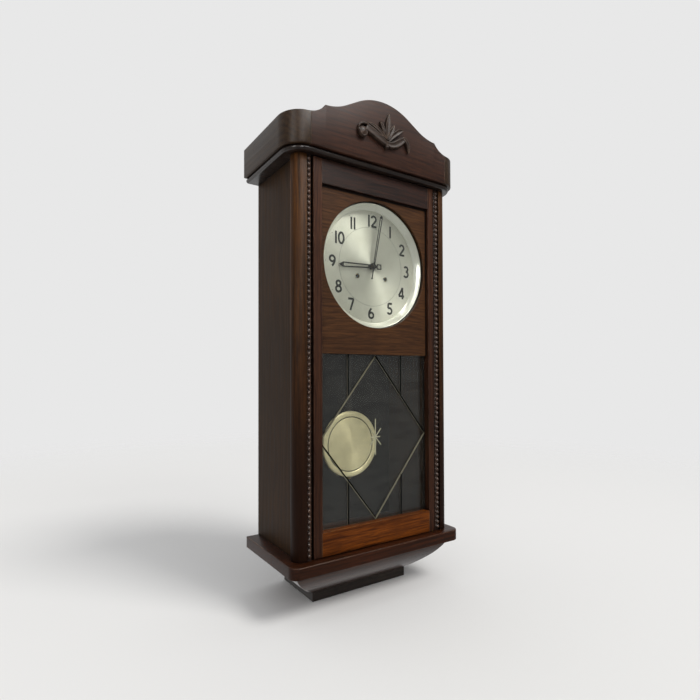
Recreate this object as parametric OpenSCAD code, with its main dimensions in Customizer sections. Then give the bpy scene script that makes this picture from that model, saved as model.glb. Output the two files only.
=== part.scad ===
// Wall regulator clock: an oak case on a wall, a glazed door, an eight day striking
// movement and a pendulum. Millimetres. X is to the right, the front faces -Y and Z is up.
// The wall is the plane Y = 0 and the origin is the hanging hole at the back.
// Inside the modules heights are counted from the middle of the dial, and place() moves
// every piece from there to its height below the hanging hole.

/* [Case] */
// Width over the two corner posts
case_w = 295; // [290:1:312]
// Depth from the wall to the front of the posts
case_d = 141; // [141:1:165]
// Height of the tops of the posts above the middle of the dial
post_top = 142; // [138:1:150]
// Depth of the top of the base board below the middle of the dial
base_drop = 430.5; // [415:0.5:520]
// Thickness of the corner posts, front to back
post_t = 16; // [14:0.5:17]
// Radius of the rounded outer edge of a corner post
post_r = 14; // [6:0.5:14]
// How far the side boards stand in from the posts
side_inset = 8; // [4:0.5:10]
// Thickness of the side boards
side_t = 12; // [9:0.5:13]
// Thickness of the back board
back_t = 10; // [10:0.5:12]
// Height of the top edge of the back board above the middle of the dial
back_top = 190; // [189:1:200]

/* [Beads] */
// Distance between two beads
bead_pitch = 7.9; // [7:0.1:12]
// Radius of a bead
bead_r = 3.3; // [2.6:0.1:3.4]
// Distance of a bead column from the edge of the door
bead_in = 6.75; // [6.5:0.25:8]

/* [Hood] */
// Width of the hood
hood_w = 330; // [322:1:350]
// How far the hood and the base board stand in front of the posts
hood_proj = 14; // [10:0.5:20]
// Radius of the rounded front corners of the hood
hood_r = 35; // [28:1:44]
// Thickness of the hood's boards
hood_t = 14; // [10:0.5:18]
// Height of the crest of the hood above the middle of the dial
crest_top = 246; // [240:1:255]
// Height of the hood's side boards
hood_side_h = 46; // [36:1:46]
// Radius of the crest
crest_r = 100; // [90:1:110]
// Slope of the two rakes beside the crest, in degrees
rake_slope = 29; // [27:0.5:31]
// Length of a straight rake
rake_len = 24.6; // [18:0.2:30]
// Radius of the hollow that runs out to the shoulder
shoulder_r = 84; // [76:1:96]
// Radius of the hollow step outside the shoulder
step_r = 38; // [34:0.5:42]
// Thickness of the case's top board, whose edge is the half round under the hood
top_t = 7.5; // [6:0.5:9]
// How far that edge stands back from the hood's face
nose_in = 4; // [2:0.5:6]

/* [Ornament] */
// Length of one arm of the carved ornament
arm_len = 45; // [38:1:52]
// Thickness of the carved ornament
carve_t = 6; // [4:0.5:8]
// Slope of the ornament's arms, in degrees
arm_slope = 20; // [16:1:24]
// Height of the foot of the ornament's arms above the middle of the dial
carve_z = 177; // [174:1:182]

/* [Base] */
// Width of the base board
base_w = 320; // [314:1:336]
// Thickness of the base board
base_t = 17; // [14:0.5:24]
// Radius of the base board's front corners
base_r = 14; // [8:1:24]
// Height of the sloping console below the base board
console_h = 53; // [40:1:64]
// How far the console's slope swells out, as a share of its width
console_swell = 0.15; // [0.05:0.01:0.2]
// Width of the foot block
foot_w = 183.4; // [160:0.2:200]
// Depth of the foot block from the wall
foot_d = 92.6; // [80:0.2:100]
// Height of the foot block
foot_h = 14.3; // [10:0.1:20]
// Width of the console's landing on the foot block
landing = 18; // [12:1:24]

/* [Door] */
// Width of the door
door_w = 236.5; // [235:0.5:240]
// Thickness of the door frame
door_t = 18; // [18:0.5:19]
// Width of a door stile
stile_w = 14; // [13.5:0.25:15]
// Height of the top rail's lower edge above the middle of the dial
top_rail_z = 105.3; // [102:0.1:110]
// Depth of the dial panel's lower edge below the middle of the dial
panel_drop = 139.5; // [125:0.5:200]
// Depth of the bottom rail's upper edge below the middle of the dial
glass_drop = 394.7; // [360:0.1:400]
// Thickness of the wooden dial panel
panel_t = 4; // [3:0.25:4.25]
// How far the dial panel stands back from the face of the door
panel_back = 4.6; // [4:0.1:5]
// How far the lower glass stands back from the face of the door
glass_back = 10.5; // [10:0.1:11]
// Thickness of the lower glass
glass_t = 4; // [3:0.25:4]
// Thickness of the glass over the dial
dial_glass_t = 1.2; // [1:0.1:1.4]
// How far the frame's rebates reach in from the opening
rebate = 6; // [5:0.25:6.5]
// Distance of the hinge pins from the stile's edge and from its face
pivot_in = 4; // [3.5:0.25:4.5]
// Radius of a hinge pin
pivot_pin_r = 2; // [1.5:0.1:2.2]
// Depth of the door's catch below the middle of the dial
catch_drop = 150; // [145:1:300]

/* [Glass cuts] */
// Half width of the lozenge cut in the glass
lozenge_w = 104; // [80:1:104]
// Half height of the lozenge
lozenge_h = 127; // [90:1:127]
// Distance of the upright cuts from the middle of the glass
upright_x = 52; // [40:1:60]
// Width of a cut at the face of the glass
cut_w = 3; // [1.6:0.1:3.4]
// Longest ray of the star in the middle of the glass
star_r = 28; // [20:1:34]

/* [Dial] */
// Outer radius of the nickelled ring round the dial
ring_r = 98; // [96:0.5:98]
// Visible radius of the dial inside the ring
dial_r = 89; // [86:0.5:90]
// How far the ring's lip stands back from the face of the door
ring_back = 10.5; // [10.4:0.1:11]
// How far the dial stands back from the face of the door
dial_back = 19.5; // [19:0.1:20]
// Distance of a winding hole from the middle of the dial, to the side
wind_x = 27.5; // [27:0.1:28.5]
// Depth of the winding holes below the middle of the dial
wind_drop = 17; // [16.5:0.1:18]
// Radius of a winding hole
wind_hole_r = 3.9; // [3.6:0.1:4.4]

/* [Hands] */
// Length of the hour hand
hour_len = 65; // [55:1:68]
// Width of the hour hand
hour_w = 8; // [6:0.2:9]
// Length of the minute hand
minute_len = 84; // [76:1:86]
// Width of the minute hand
minute_w = 5; // [4:0.2:6]
// Length of the minute hand's tail
minute_tail = 20; // [14:1:22]
// Where the hour hand points, clockwise from twelve, in degrees
hour_at = 267; // [0:1:359]
// Where the minute hand points, clockwise from twelve, in degrees
minute_at = 11; // [0:1:359]

/* [Movement] */
// Thickness of the movement's plates
plate_t = 2; // [1.6:0.1:2.2]
// Half width of the plates
plate_w = 60; // [60:0.5:64]
// Height of the plates' top edge above the middle of the dial
plate_top = 48; // [48:0.5:54]
// Depth of the plates' bottom edge below the middle of the dial
plate_drop = 73; // [70:0.5:76]
// Free space between the two plates
plate_gap = 36; // [36:0.5:38]
// Space between the dial and the front plate for the motion work
motion_gap = 12.5; // [12.5:0.1:13]
// Radius of the pillars between the plates
pillar_r = 4; // [3:0.1:4.5]
// Radius of the winding arbors
wind_arbor_r = 2.5; // [2:0.1:2.7]
// Radius of an arbor's pivots
pivot_r = 0.8; // [0.6:0.05:1]
// Radius of a train arbor
arbor_r = 1.4; // [1.1:0.1:1.6]
// Thickness of a wheel
wheel_t = 1.2; // [1:0.1:1.4]

/* [Pendulum] */
// Distance from the suspension to the middle of the bob
pendulum_len = 320.7; // [290:0.1:322]
// Radius of the bob
bob_r = 55; // [45:1:60]
// Radius of the bob's inner disc
bob_disc_r = 45; // [36:1:46]
// Width of the wooden rod
rod_w = 10; // [8:0.5:12]
// Swing of the pendulum to each side, in degrees
swing = 4; // [2:0.5:4]

/* [Gong] */
// Outer radius of the coiled gong
gong_r = 40; // [30:1:41]
// Turns of the coiled gong
gong_turns = 5; // [3:1:5]
// Radius of the gong's wire
gong_wire_r = 1.4; // [1:0.1:1.6]

/* [Hanger] */
// Height of the hanging hole above the middle of the dial
hanger_rise = 160; // [156:1:162]
// Radius of the hanging hole
hanger_hole_r = 5.2; // [4.5:0.1:6]
// Width of the slot above the hanging hole
hanger_slot_w = 4.4; // [3.5:0.1:5]
// Thickness of the hanger plate
hanger_t = 1.5; // [1.2:0.1:2]

/* [Fits] */
// Radial clearance of a turning pivot
run_fit = 0.05; // [0.02:0.01:0.08]
// Clearance round a fixed piece in its seat
seat_fit = 0.2; // [0.1:0.05:0.3]
// Clearance of a piece pressed or screwed onto another
press_fit = 0.01; // [0.01:0.01:0.05]
// Gap round the door
door_gap = 1; // [0.8:0.1:1.4]
// Gap between moving faces
free_gap = 0.3; // [0.2:0.05:0.4]

/* [Hidden] */
$fn = 48;

// Case, derived
front_y = -case_d;
half_w = case_w / 2;
side_out = half_w - side_inset;
side_in = side_out - side_t;
post_back_y = front_y + post_t;
post_in = door_w / 2 + door_gap;
post_h = post_top + base_drop;
hood_front_y = front_y - hood_proj;
hood_z = post_top + top_t;
hood_side_top = hood_z + hood_side_h;
hood_flat_x = hood_w / 2 - 15;
base_bottom = -base_drop - base_t;
foot_top = base_bottom - console_h;

// Beads, derived
bead_x = door_w / 2 + bead_in;
bead_y = front_y + bead_r;
bead_strip_w = 8;
bead_strip_t = 3.4;
bead_floor_y = bead_y + bead_r + 0.2;
bead_rebate_x = bead_x + bead_strip_w / 2 + 0.7;
bead_n = floor((post_h - 2) / bead_pitch);
bead_z0 = -base_drop + (post_h - (bead_n - 1) * bead_pitch) / 2;

// Door, derived
door_x = door_w / 2;
door_in_x = door_x - stile_w;
door_back_y = front_y + door_t;
door_top = post_top - 1.2;
door_bottom = -base_drop + 1.2;
panel_y = front_y + panel_back;
panel_back_y = panel_y + panel_t;
dial_glass_y = panel_back_y + 0.1;
glass_y = front_y + glass_back;
glass_back_y = glass_y + glass_t;
glass_over = 6;
rebate_x = door_in_x + rebate;
pivot_x = door_x - pivot_in;
pivot_y = front_y + pivot_in;
pivot_sink = 6;
pivot_hold = 10;
batten_drop = panel_drop - glass_over - 0.5;
dial_glass_drop = 112;
catch_y = door_back_y - 6;
catch_r = 3.5;
ball_r = 2.4;
catch_len = 7;
ball_out = 1.4;

// Dial and hands, derived
dial_y = front_y + dial_back;
dial_t = 1;
dial_back_y = dial_y + dial_t;
ring_lip_y = front_y + ring_back;
ring_wall = 0.8;
hand_t = 0.8;
hour_hand_y = dial_y - 3.3;
minute_hand_y = dial_y - 6.1;
nut_y = minute_hand_y - hand_t;
cannon_r = 2.2;
hour_pipe_r = 3.1;
minute_seat_r = 1.6;
thread_r = 1.1;

// Plates, derived
front_plate_y = dial_back_y + motion_gap;
inside_y = front_plate_y + plate_t;
inside_back_y = inside_y + plate_gap;
back_plate_y = inside_back_y + plate_t;
pillar_x = 54;
pillar_up = plate_top - 6;
pillar_down = -plate_drop + 8;
// Layers of the trains, counted back from the inside of the front plate
pin_layer = inside_y + 3;
second_layer = inside_y + 6;
centre_layer = inside_y + 9;
third_layer = inside_y + 11.5;
spring_y0 = inside_y + 14;
escape_layer = inside_y + 26;
ratchet_y = inside_back_y - 6.5;
great_y = inside_back_y - 3.5;
great_t = 2;
spring_y1 = ratchet_y - 1;

// Trains, derived: teeth, modules and arbor places
great_n = 60;
great_m = 0.7;
great_pinion_n = 10;
wheel2_n = 64;
wheel2_m = 0.6;
leaf_n = 8;
centre_n = 80;
fine_m = 0.45;
third_n = 72;
escape_n = 35;
escape_r = 14;
escape_span = 4.5;
cannon_n = 12;
minute_n = 36;
minute_m = 0.625;
minute_pinion_n = 10;
hour_n = 40;
hour_m = 0.6;
pin_n = 8;
pin_circle_r = 15;
lock_n = 56;
fly_r = 11.5;
ratchet_n = 24;
ratchet_r = 9;

function dir(a) = [cos(a), sin(a)];
function angle_of(v) = atan2(v[1], v[0]);
// The point at distance ra from a and rb from b, on the left of the line from a to b
function meet(a, ra, b, rb) =
    let (d = norm(b - a), c = (ra * ra + d * d - rb * rb) / (2 * ra * d))
    a + ra * dir(angle_of(b - a) + acos(c));

centre_at = [0, 0];
time_at = [wind_x, -wind_drop];
strike_at = [-wind_x, -wind_drop];
great_reach = great_m * (great_n + great_pinion_n) / 2;
second_reach = wheel2_m * (wheel2_n + leaf_n) / 2;
second_at = meet(time_at, great_reach, centre_at, second_reach);
third_at = centre_at + fine_m * (centre_n + leaf_n) / 2 * dir(18);
escape_at = third_at + fine_m * (third_n + leaf_n) / 2 * dir(94);
escape_half = escape_span * 360 / escape_n;
anchor_reach = escape_r / cos(escape_half);
// The anchor turns by itself here, so at rest its pallets stand clear by their whole swing
pallet_gap = escape_r * tan(escape_half) * sin(swing) + run_fit * 3;
anchor_at = [0, escape_at[1] + sqrt(anchor_reach * anchor_reach - escape_at[0] * escape_at[0])];
minute_at_xz = [0, -minute_m * (cannon_n + minute_n) / 2];
strike_pin_at = strike_at + great_reach * dir(100);
strike_lock_at = strike_pin_at + second_reach * dir(60);
fly_at = strike_lock_at + fine_m * (lock_n + leaf_n) / 2 * dir(150);
hammer_at = [-55, 4];

// Pendulum, derived
cock_y = back_plate_y + 3.2;
cock_t = 1.5;
rod_y = back_plate_y + 11.5;
rod_t = 4;
susp_z = anchor_at[1];
bob_z = susp_z - pendulum_len;
bob_t = 4;
bob_face_y = rod_y - rod_t / 2 - bob_t;
rod_top = susp_z - 20;
rod_bottom = bob_z - 46;
stud_z0 = susp_z + 2;
stud_z1 = susp_z + 8;

// Gong, derived
gong_at = [-2, -62];
gong_y = -25;
gong_start_r = 7;

// Puts a piece, drawn about the middle of the dial, at its height below the hanging hole
module place() {
    translate([0, 0, -hanger_rise]) children();
}

// An outline in X and Z, made into a slab from y0 back to y1
module slab(y0, y1) {
    translate([0, y1, 0]) rotate([90, 0, 0]) linear_extrude(y1 - y0) children();
}

// A round bar along Y at the point p = [x, z]
module bar(p, y0, y1, r) {
    translate([p[0], y1, p[1]]) rotate([90, 0, 0]) cylinder(h = y1 - y0, r = r);
}

// A block from one corner to the other
module block(a, b) {
    translate(a) cube(b - a);
}

// Both a piece and its mirror image across the middle of the clock
module both_sides() {
    children();
    mirror([1, 0, 0]) children();
}

// Points of an arc from angle a to angle b
function arc(c, r, a, b, n) = [for (i = [0:n]) c + r * dir(a + (b - a) * i / n)];

// The right half of the hood's outline, from the crest out to the side
crest_end = [crest_r * sin(rake_slope), crest_top - crest_r * (1 - cos(rake_slope))];
rake_end = crest_end + rake_len * [cos(rake_slope), -sin(rake_slope)];
shoulder_c = rake_end + shoulder_r * [sin(rake_slope), cos(rake_slope)];
shoulder_end = shoulder_c + shoulder_r * dir(270 - 3);
step_c = shoulder_end + step_r * [sin(54), cos(54)];
half_outline = concat(
    arc([0, crest_top - crest_r], crest_r, 90, 90 - rake_slope, 14),
    arc(shoulder_c, shoulder_r, 270 - rake_slope, 270 - 3, 8),
    arc(step_c, step_r, 270 - 54, 270 - 8, 10),
    [[hood_flat_x, hood_side_top], [hood_w / 2 + 1, hood_side_top]]
);

module hood_outline() {
    n = len(half_outline);
    left = [for (i = [n - 1:-1:1]) [-half_outline[i][0], half_outline[i][1]]];
    polygon(concat(
        [[-hood_w / 2 - 1, hood_z]], left, half_outline, [[hood_w / 2 + 1, hood_z]]
    ));
}

// Case

module back_board() {
    w = side_in - seat_fit;
    color("#2b211b") place() difference() {
        block([-w, -back_t, -base_drop], [w, 0, back_top]);
        slab(-hanger_t, 1) hanger_outline(seat_fit / 2);
        slab(-hanger_t - 6.5, 1) keyhole(hanger_hole_r + 2, hanger_slot_w + 3);
        for (p = hanger_screw_places()) bar(p, -9, 1, 1.5 + press_fit);
    }
}

module case_sides() {
    color("#3a2c24") place() both_sides()
        block([side_in, post_back_y, -base_drop], [side_out, 0, post_top]);
}

// A corner post seen from above, with its rounded edge and the rebate for the beads
module post_plan() {
    difference() {
        union() {
            translate([post_in, front_y]) square([half_w - post_r - post_in, post_t]);
            translate([half_w - post_r - 1, front_y + post_r])
                square([post_r + 1, post_t - post_r]);
            intersection() {
                translate([half_w - post_r, front_y + post_r]) circle(post_r);
                translate([half_w - post_r, front_y]) square([post_r, post_t]);
            }
        }
        translate([post_in - 1, front_y - 1])
            square([bead_rebate_x - post_in + 1, bead_floor_y - front_y + 1]);
    }
}

module corner_post_right() {
    color("#46301f") place()
        translate([0, 0, -base_drop]) linear_extrude(post_h) post_plan();
}

module corner_post_left() {
    color("#46301f") place() difference() {
        mirror([1, 0, 0]) translate([0, 0, -base_drop]) linear_extrude(post_h) post_plan();
        translate([-door_x - ball_out + ball_r, catch_y, -catch_drop])
            sphere(ball_r + free_gap);
    }
}

module bead_strips() {
    color("#3b281c") place() both_sides() union() {
        block([bead_x - bead_strip_w / 2, bead_floor_y - bead_strip_t, -base_drop],
              [bead_x + bead_strip_w / 2, bead_floor_y, post_top]);
        for (i = [0:bead_n - 1])
            translate([bead_x, bead_y, bead_z0 + i * bead_pitch]) sphere(bead_r);
    }
}

// A board with two rounded front corners, seen from above
module board_plan(w, y, r) {
    translate([-w / 2, y + r]) square([w, -y - r]);
    translate([-w / 2 + r, y]) square([w - 2 * r, r + 1]);
    for (s = [-1, 1]) translate([s * (w / 2 - r), y + r]) circle(r, $fn = 96);
}

module case_top_board() {
    r = top_t / 2;
    w = hood_w - 2 * nose_in;
    y = hood_front_y + nose_in;
    turn = hood_r - nose_in;
    color("#33241b") place() difference() {
        translate([0, 0, post_top]) union() {
            linear_extrude(top_t) board_plan(w - 2 * r, y + r, turn - r);
            translate([-w / 2 + turn, y + r, r]) rotate([0, 90, 0])
                cylinder(h = w - 2 * turn, r = r);
            both_sides() {
                translate([w / 2 - r, 0, r]) rotate([90, 0, 0]) cylinder(h = -y - turn, r = r);
                translate([w / 2 - turn, y + turn, r]) rotate([0, 0, 270])
                    rotate_extrude(angle = 90, $fn = 96) translate([turn - r, 0]) circle(r);
            }
        }
        block([-side_in, -back_t, post_top - 1], [side_in, 1, hood_z + 1]);
        translate([pivot_x, pivot_y, post_top - 1])
            cylinder(h = pivot_sink + 1, r = pivot_pin_r + run_fit);
    }
}

module hood_front_board() {
    color("#47331f") place() intersection() {
        slab(hood_front_y, hood_front_y + hood_t) hood_outline();
        block([-hood_w / 2 + hood_r, hood_front_y, hood_z],
              [hood_w / 2 - hood_r, 0, crest_top + 1]);
    }
}

module hood_sides() {
    x = hood_w / 2 - hood_r;
    y = hood_front_y + hood_r;
    color("#41301f") place() both_sides() intersection() {
        slab(hood_front_y, 0) hood_outline();
        translate([0, 0, hood_z]) union() {
            translate([hood_w / 2 - hood_t, y, 0]) cube([hood_t, -y, 100]);
            intersection() {
                translate([x, y, 0]) difference() {
                    cylinder(h = 100, r = hood_r, $fn = 96);
                    translate([0, 0, -1]) cylinder(h = 102, r = hood_r - hood_t, $fn = 96);
                }
                translate([x, hood_front_y, 0]) cube([hood_r, hood_r, 100]);
            }
        }
    }
}

// The carved ornament: two arms that fall to the middle with a groove along each, a round
// knob at the left end, a hanging leaf at the right end and a fan between them
function arm_line(a, b, h) = [for (x = [a, b]) [x, h + abs(x) * tan(arm_slope)]];

module arm_outline(end) {
    polygon(concat([[0, -3]], arm_line(end, end, -3), arm_line(end * 1.04, end, 14),
        [[end * 0.5, 24], [0, 14]]));
}

module arm_groove(end) {
    polygon(concat(arm_line(0, end, 8.4), arm_line(end, 0, 10.4)));
}

module fan_outline() {
    polygon([[-3, 8], [-11.5, 27], [-10, 35.6], [3.5, 45], [7, 50], [16, 36], [31, 36],
             [37, 30], [20, 12]]);
}

module hood_ornament() {
    face = hood_front_y - carve_t;
    color("#3d2d22") place() translate([0, 0, carve_z]) difference() {
        union() {
            slab(face, hood_front_y) arm_outline(-arm_len * 0.76);
            slab(face, hood_front_y) arm_outline(arm_len * 0.84);
            slab(face + 1.5, hood_front_y) fan_outline();
            bar([-arm_len * 0.97, 11], face - 0.8, hood_front_y, 8);
            slab(face, hood_front_y) polygon([[arm_len * 0.84, 9], [arm_len * 0.84, 23],
                [arm_len, 20], [arm_len * 1.08, 3], [arm_len * 0.98, 3]]);
            bar([0.8, -1.4], face - 0.8, hood_front_y, 2.6);
        }
        for (end = [-arm_len * 0.76, arm_len * 0.72])
            slab(face - 1, face + 2.6) arm_groove(end);
        bar([-arm_len * 0.95, 20.5], face - 2, hood_front_y + 1, 1.4);
    }
}

module base_board() {
    color("#4a2f1c") place() difference() {
        translate([0, 0, base_bottom]) linear_extrude(base_t)
            board_plan(base_w, hood_front_y, base_r);
        translate([pivot_x, pivot_y, -base_drop - pivot_sink])
            cylinder(h = pivot_sink + 1, r = pivot_pin_r + run_fit);
    }
}

// The console's outline, down and in to the edge of the foot block. run is its width.
console_steps = 16;
function swelling(run) = [for (i = [0:console_steps]) let (t = i / console_steps)
    [run * (1 - t + console_swell * 4 * t * (1 - t)), base_bottom - console_h * t]];

module console_profile(run, share) {
    polygon(concat(swelling(run), [[-landing * share, foot_top],
        [run * 0.49, base_bottom]]));
}

console_run_x = half_w - foot_w / 2;
console_run_y = case_d - foot_d;
mitre = console_run_x / console_run_y;

module console_front() {
    inner_x = foot_w / 2 - landing * mitre;
    color("#4b3426") place() intersection() {
        translate([half_w, -foot_d, 0]) rotate([90, 0, 270]) linear_extrude(case_w)
            console_profile(console_run_y, 1);
        translate([0, 0, foot_top]) linear_extrude(console_h)
            polygon([[-half_w, front_y], [half_w, front_y],
                     [inner_x, -foot_d + landing], [-inner_x, -foot_d + landing]]);
    }
}

module console_sides() {
    inner_x = foot_w / 2 - landing * mitre;
    color("#4b3426") place() both_sides() intersection() {
        translate([foot_w / 2, 0, 0]) rotate([90, 0, 0]) linear_extrude(case_d)
            console_profile(console_run_x, mitre);
        translate([0, 0, foot_top]) linear_extrude(console_h)
            polygon([[half_w, front_y], [half_w, 0], [inner_x, 0],
                     [inner_x, -foot_d + landing]]);
    }
}

module console_foot() {
    color("#2a1d17") place()
        block([-foot_w / 2, -foot_d, foot_top - foot_h], [foot_w / 2, 0, foot_top]);
}

// Hanger

function hanger_screw_places() = [for (x = [-10.5, 10.5], z = [-11, 22]) [x, hanger_rise + z]];

module hanger_outline(grow) {
    translate([-15 - grow, hanger_rise - 16 - grow]) square([30 + 2 * grow, 44 + 2 * grow]);
}

// The hanging hole with its slot above
module keyhole(r, w) {
    translate([0, hanger_rise]) circle(r);
    translate([-w / 2, hanger_rise]) square([w, 12]);
    translate([0, hanger_rise + 12]) circle(w / 2);
}

module hanger_plate() {
    color("#8d8a82") place() difference() {
        slab(-hanger_t, 0) hanger_outline(0);
        slab(-hanger_t - 1, 1) keyhole(hanger_hole_r, hanger_slot_w);
        for (p = hanger_screw_places()) bar(p, -hanger_t - 1, 1, 1.5 + press_fit);
    }
}

module hanger_screws() {
    color("#a39f96") place() for (p = hanger_screw_places()) union() {
        bar(p, -8.5, 0, 1.5);
        bar(p, 0, 0.8, 2.8);
    }
}

// Door

module stile_right() {
    difference() {
        translate([0, 0, door_bottom]) linear_extrude(door_top - door_bottom) union() {
            translate([door_in_x, front_y]) square([stile_w - pivot_in, door_t]);
            translate([pivot_x, pivot_y]) square([pivot_in, door_t - pivot_in]);
            intersection() {
                translate([pivot_x, pivot_y]) circle(pivot_in);
                translate([pivot_x, front_y]) square([pivot_in, pivot_in]);
            }
        }
        door_rebates();
    }
}

// The rebates that take the dial panel and, lower down and deeper, the cut glass
module door_rebates() {
    top = top_rail_z + rebate;
    step = -panel_drop - 0.5;
    bottom = -glass_drop - rebate;
    block([-rebate_x, panel_y, step], [rebate_x, door_back_y + 1, top]);
    block([-rebate_x, glass_y, bottom], [rebate_x, door_back_y + 1, step + 0.01]);
}

module door_stile_right() {
    color("#4a3120") place() difference() {
        stile_right();
        for (z = [door_bottom - 1, door_top - pivot_hold - 0.3])
            translate([pivot_x, pivot_y, z])
                cylinder(h = pivot_hold + 1.3, r = pivot_pin_r + press_fit);
    }
}

module door_stile_left() {
    color("#4a3120") place() difference() {
        block([-door_x, front_y, door_bottom], [-door_in_x, door_back_y, door_top]);
        door_rebates();
        translate([-door_x - 1, catch_y, -catch_drop]) rotate([0, 90, 0])
            cylinder(h = catch_len + 1, r = catch_r + press_fit);
    }
}

module door_top_rail() {
    color("#5a3a22") place() difference() {
        block([-door_in_x, front_y, top_rail_z], [door_in_x, door_back_y, door_top]);
        door_rebates();
    }
}

module door_bottom_rail() {
    color("#7a4526") place() difference() {
        block([-door_in_x, front_y, door_bottom], [door_in_x, door_back_y, -glass_drop]);
        door_rebates();
    }
}

module door_dial_panel() {
    w = rebate_x - seat_fit;
    color("#4b2f20") place() slab(panel_y, panel_back_y) difference() {
        translate([-w, -panel_drop]) square([2 * w, panel_drop + top_rail_z + rebate - 0.3]);
        circle(ring_r + 0.5, $fn = 128);
    }
}

module door_dial_glass() {
    w = rebate_x - seat_fit;
    color("#c9d6d6") place()
        block([-w, dial_glass_y, -dial_glass_drop],
              [w, dial_glass_y + dial_glass_t, top_rail_z + rebate - 0.3]);
}

// A straight V cut in the face of the glass, from a to b
module groove(a, b, w) {
    s = w / sqrt(2);
    translate([a[0], glass_y, a[1]]) rotate([0, -angle_of(b - a), 0]) rotate([45, 0, 0])
        translate([0, -s / 2, -s / 2]) cube([norm(b - a), s, s]);
}

module door_glass() {
    w = rebate_x - seat_fit;
    mid = -(panel_drop + glass_drop) / 2;
    end = lozenge_h * (1 - upright_x / lozenge_w);
    c = [0, mid];
    color("#8a9a9a") place() difference() {
        block([-w, glass_y, -glass_drop - rebate + 0.3],
              [w, glass_back_y, -panel_drop + glass_over]);
        for (s = [-1, 1], t = [-1, 1]) {
            groove(c + [-s * 1, t * lozenge_h], c + [s * lozenge_w, -t * 1], cut_w);
            groove([s * upright_x, mid + t * end], [s * upright_x, mid + t * 140], cut_w);
        }
        groove(c - [0, star_r], c + [0, star_r], cut_w * 0.7);
        groove(c - [star_r * 0.34, 0], c + [star_r * 0.34, 0], cut_w * 0.6);
        for (a = [50, 130])
            groove(c - star_r * 0.6 * dir(a), c + star_r * 0.6 * dir(a), cut_w * 0.6);
    }
}

module door_glazing_strips() {
    w = rebate_x - seat_fit;
    x = door_in_x + 0.15;
    y0 = dial_glass_y + dial_glass_t + 0.1;
    y1 = door_back_y - 2;
    low = -glass_drop - rebate + 0.3;
    color("#39281d") place() {
        block([-w, dial_glass_y, -batten_drop], [w, y1, -dial_glass_drop - 0.2]);
        block([-door_in_x + 0.05, y0, top_rail_z + 0.2],
              [door_in_x - 0.05, y1, top_rail_z + rebate - 0.3]);
        block([-door_in_x + 0.05, glass_back_y + 0.1, low],
              [door_in_x - 0.05, door_back_y - 0.4, -glass_drop - 0.3]);
        both_sides() {
            block([x, y0, -dial_glass_drop], [w, y1, top_rail_z + rebate - 0.3]);
            block([x, glass_back_y + 0.1, low], [w, door_back_y - 0.4, -batten_drop - 0.2]);
        }
    }
}

module door_hinge_pins() {
    color("#8f7a45") place() {
        translate([pivot_x, pivot_y, door_top - pivot_hold])
            cylinder(h = pivot_hold + post_top - door_top + pivot_sink - 1, r = pivot_pin_r);
        translate([pivot_x, pivot_y, -base_drop - pivot_sink + 1])
            cylinder(h = door_bottom + pivot_hold + base_drop + pivot_sink - 1,
                     r = pivot_pin_r);
    }
}

module door_catch_shell() {
    color("#a68c4e") place() translate([-door_x, catch_y, -catch_drop])
        rotate([0, 90, 0]) difference() {
            cylinder(h = catch_len, r = catch_r);
            translate([0, 0, -1]) cylinder(h = catch_len, r = ball_r + 0.08);
        }
}

module door_catch_ball() {
    x = -door_x - ball_out + ball_r;
    color("#b9b9b4") place() translate([x, catch_y, -catch_drop]) sphere(ball_r);
}

// Dial and hands

module dial_plate() {
    color("#c4c5b4") place() union() {
        slab(dial_y, dial_back_y) difference() {
            circle(ring_r, $fn = 128);
            circle(hour_pipe_r + 1.5);
            for (s = [-1, 1]) translate([s * wind_x, -wind_drop]) circle(wind_hole_r);
        }
        for (s = [-1, 1]) {
            slab(dial_y - 0.6, dial_back_y) translate([s * wind_x, -wind_drop])
                difference() {
                    circle(wind_hole_r + 1.3);
                    circle(wind_hole_r);
                }
            for (z = [-50, 34]) bar([s * 42, z], dial_back_y - 0.5, front_plate_y, 2);
        }
    }
}

// The nickelled ring: a sloped face from the dial out to a rounded lip
module dial_ring() {
    low = dial_y - 0.6;
    high = ring_lip_y + 0.4;
    color("#c9c6b4") place() rotate([90, 0, 0]) rotate_extrude($fn = 128) polygon([
        [dial_r, -dial_y], [dial_r, -low], [ring_r - 1, -high],
        [ring_r - 0.7, 0.1 - ring_lip_y], [ring_r - 0.3, 0.1 - ring_lip_y], [ring_r, -high],
        [ring_r, -dial_y], [ring_r - ring_wall, -dial_y],
        [ring_r - ring_wall, -high - 1.6], [dial_r + 1.4, -dial_y + 0.2],
        [dial_r + 1.4, -dial_y]
    ]);
}

module hand_slot(w, from, to) {
    translate([-w / 2, from]) square([w, to - from]);
}

module hour_hand() {
    w = hour_w / 2;
    color("#1b1a18") place() rotate([0, hour_at, 0])
        slab(hour_hand_y - hand_t, hour_hand_y) difference() {
            union() {
                circle(5.4);
                polygon([[-w * 0.72, 0], [-w, hour_len - 8], [0, hour_len], [w, hour_len - 8],
                         [w * 0.72, 0], [2, -4], [2, -8.4], [4.25, -8.4], [4.25, -17],
                         [-4.25, -17], [-4.25, -8.4], [-2, -8.4], [-2, -4]]);
            }
            circle(hour_pipe_r + press_fit);
            polygon([[-w * 0.3, 9], [-w * 0.52, hour_len - 9], [w * 0.52, hour_len - 9],
                     [w * 0.3, 9]]);
            translate([-2.6, -15.3]) square([5.2, 5.6]);
        }
}

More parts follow.
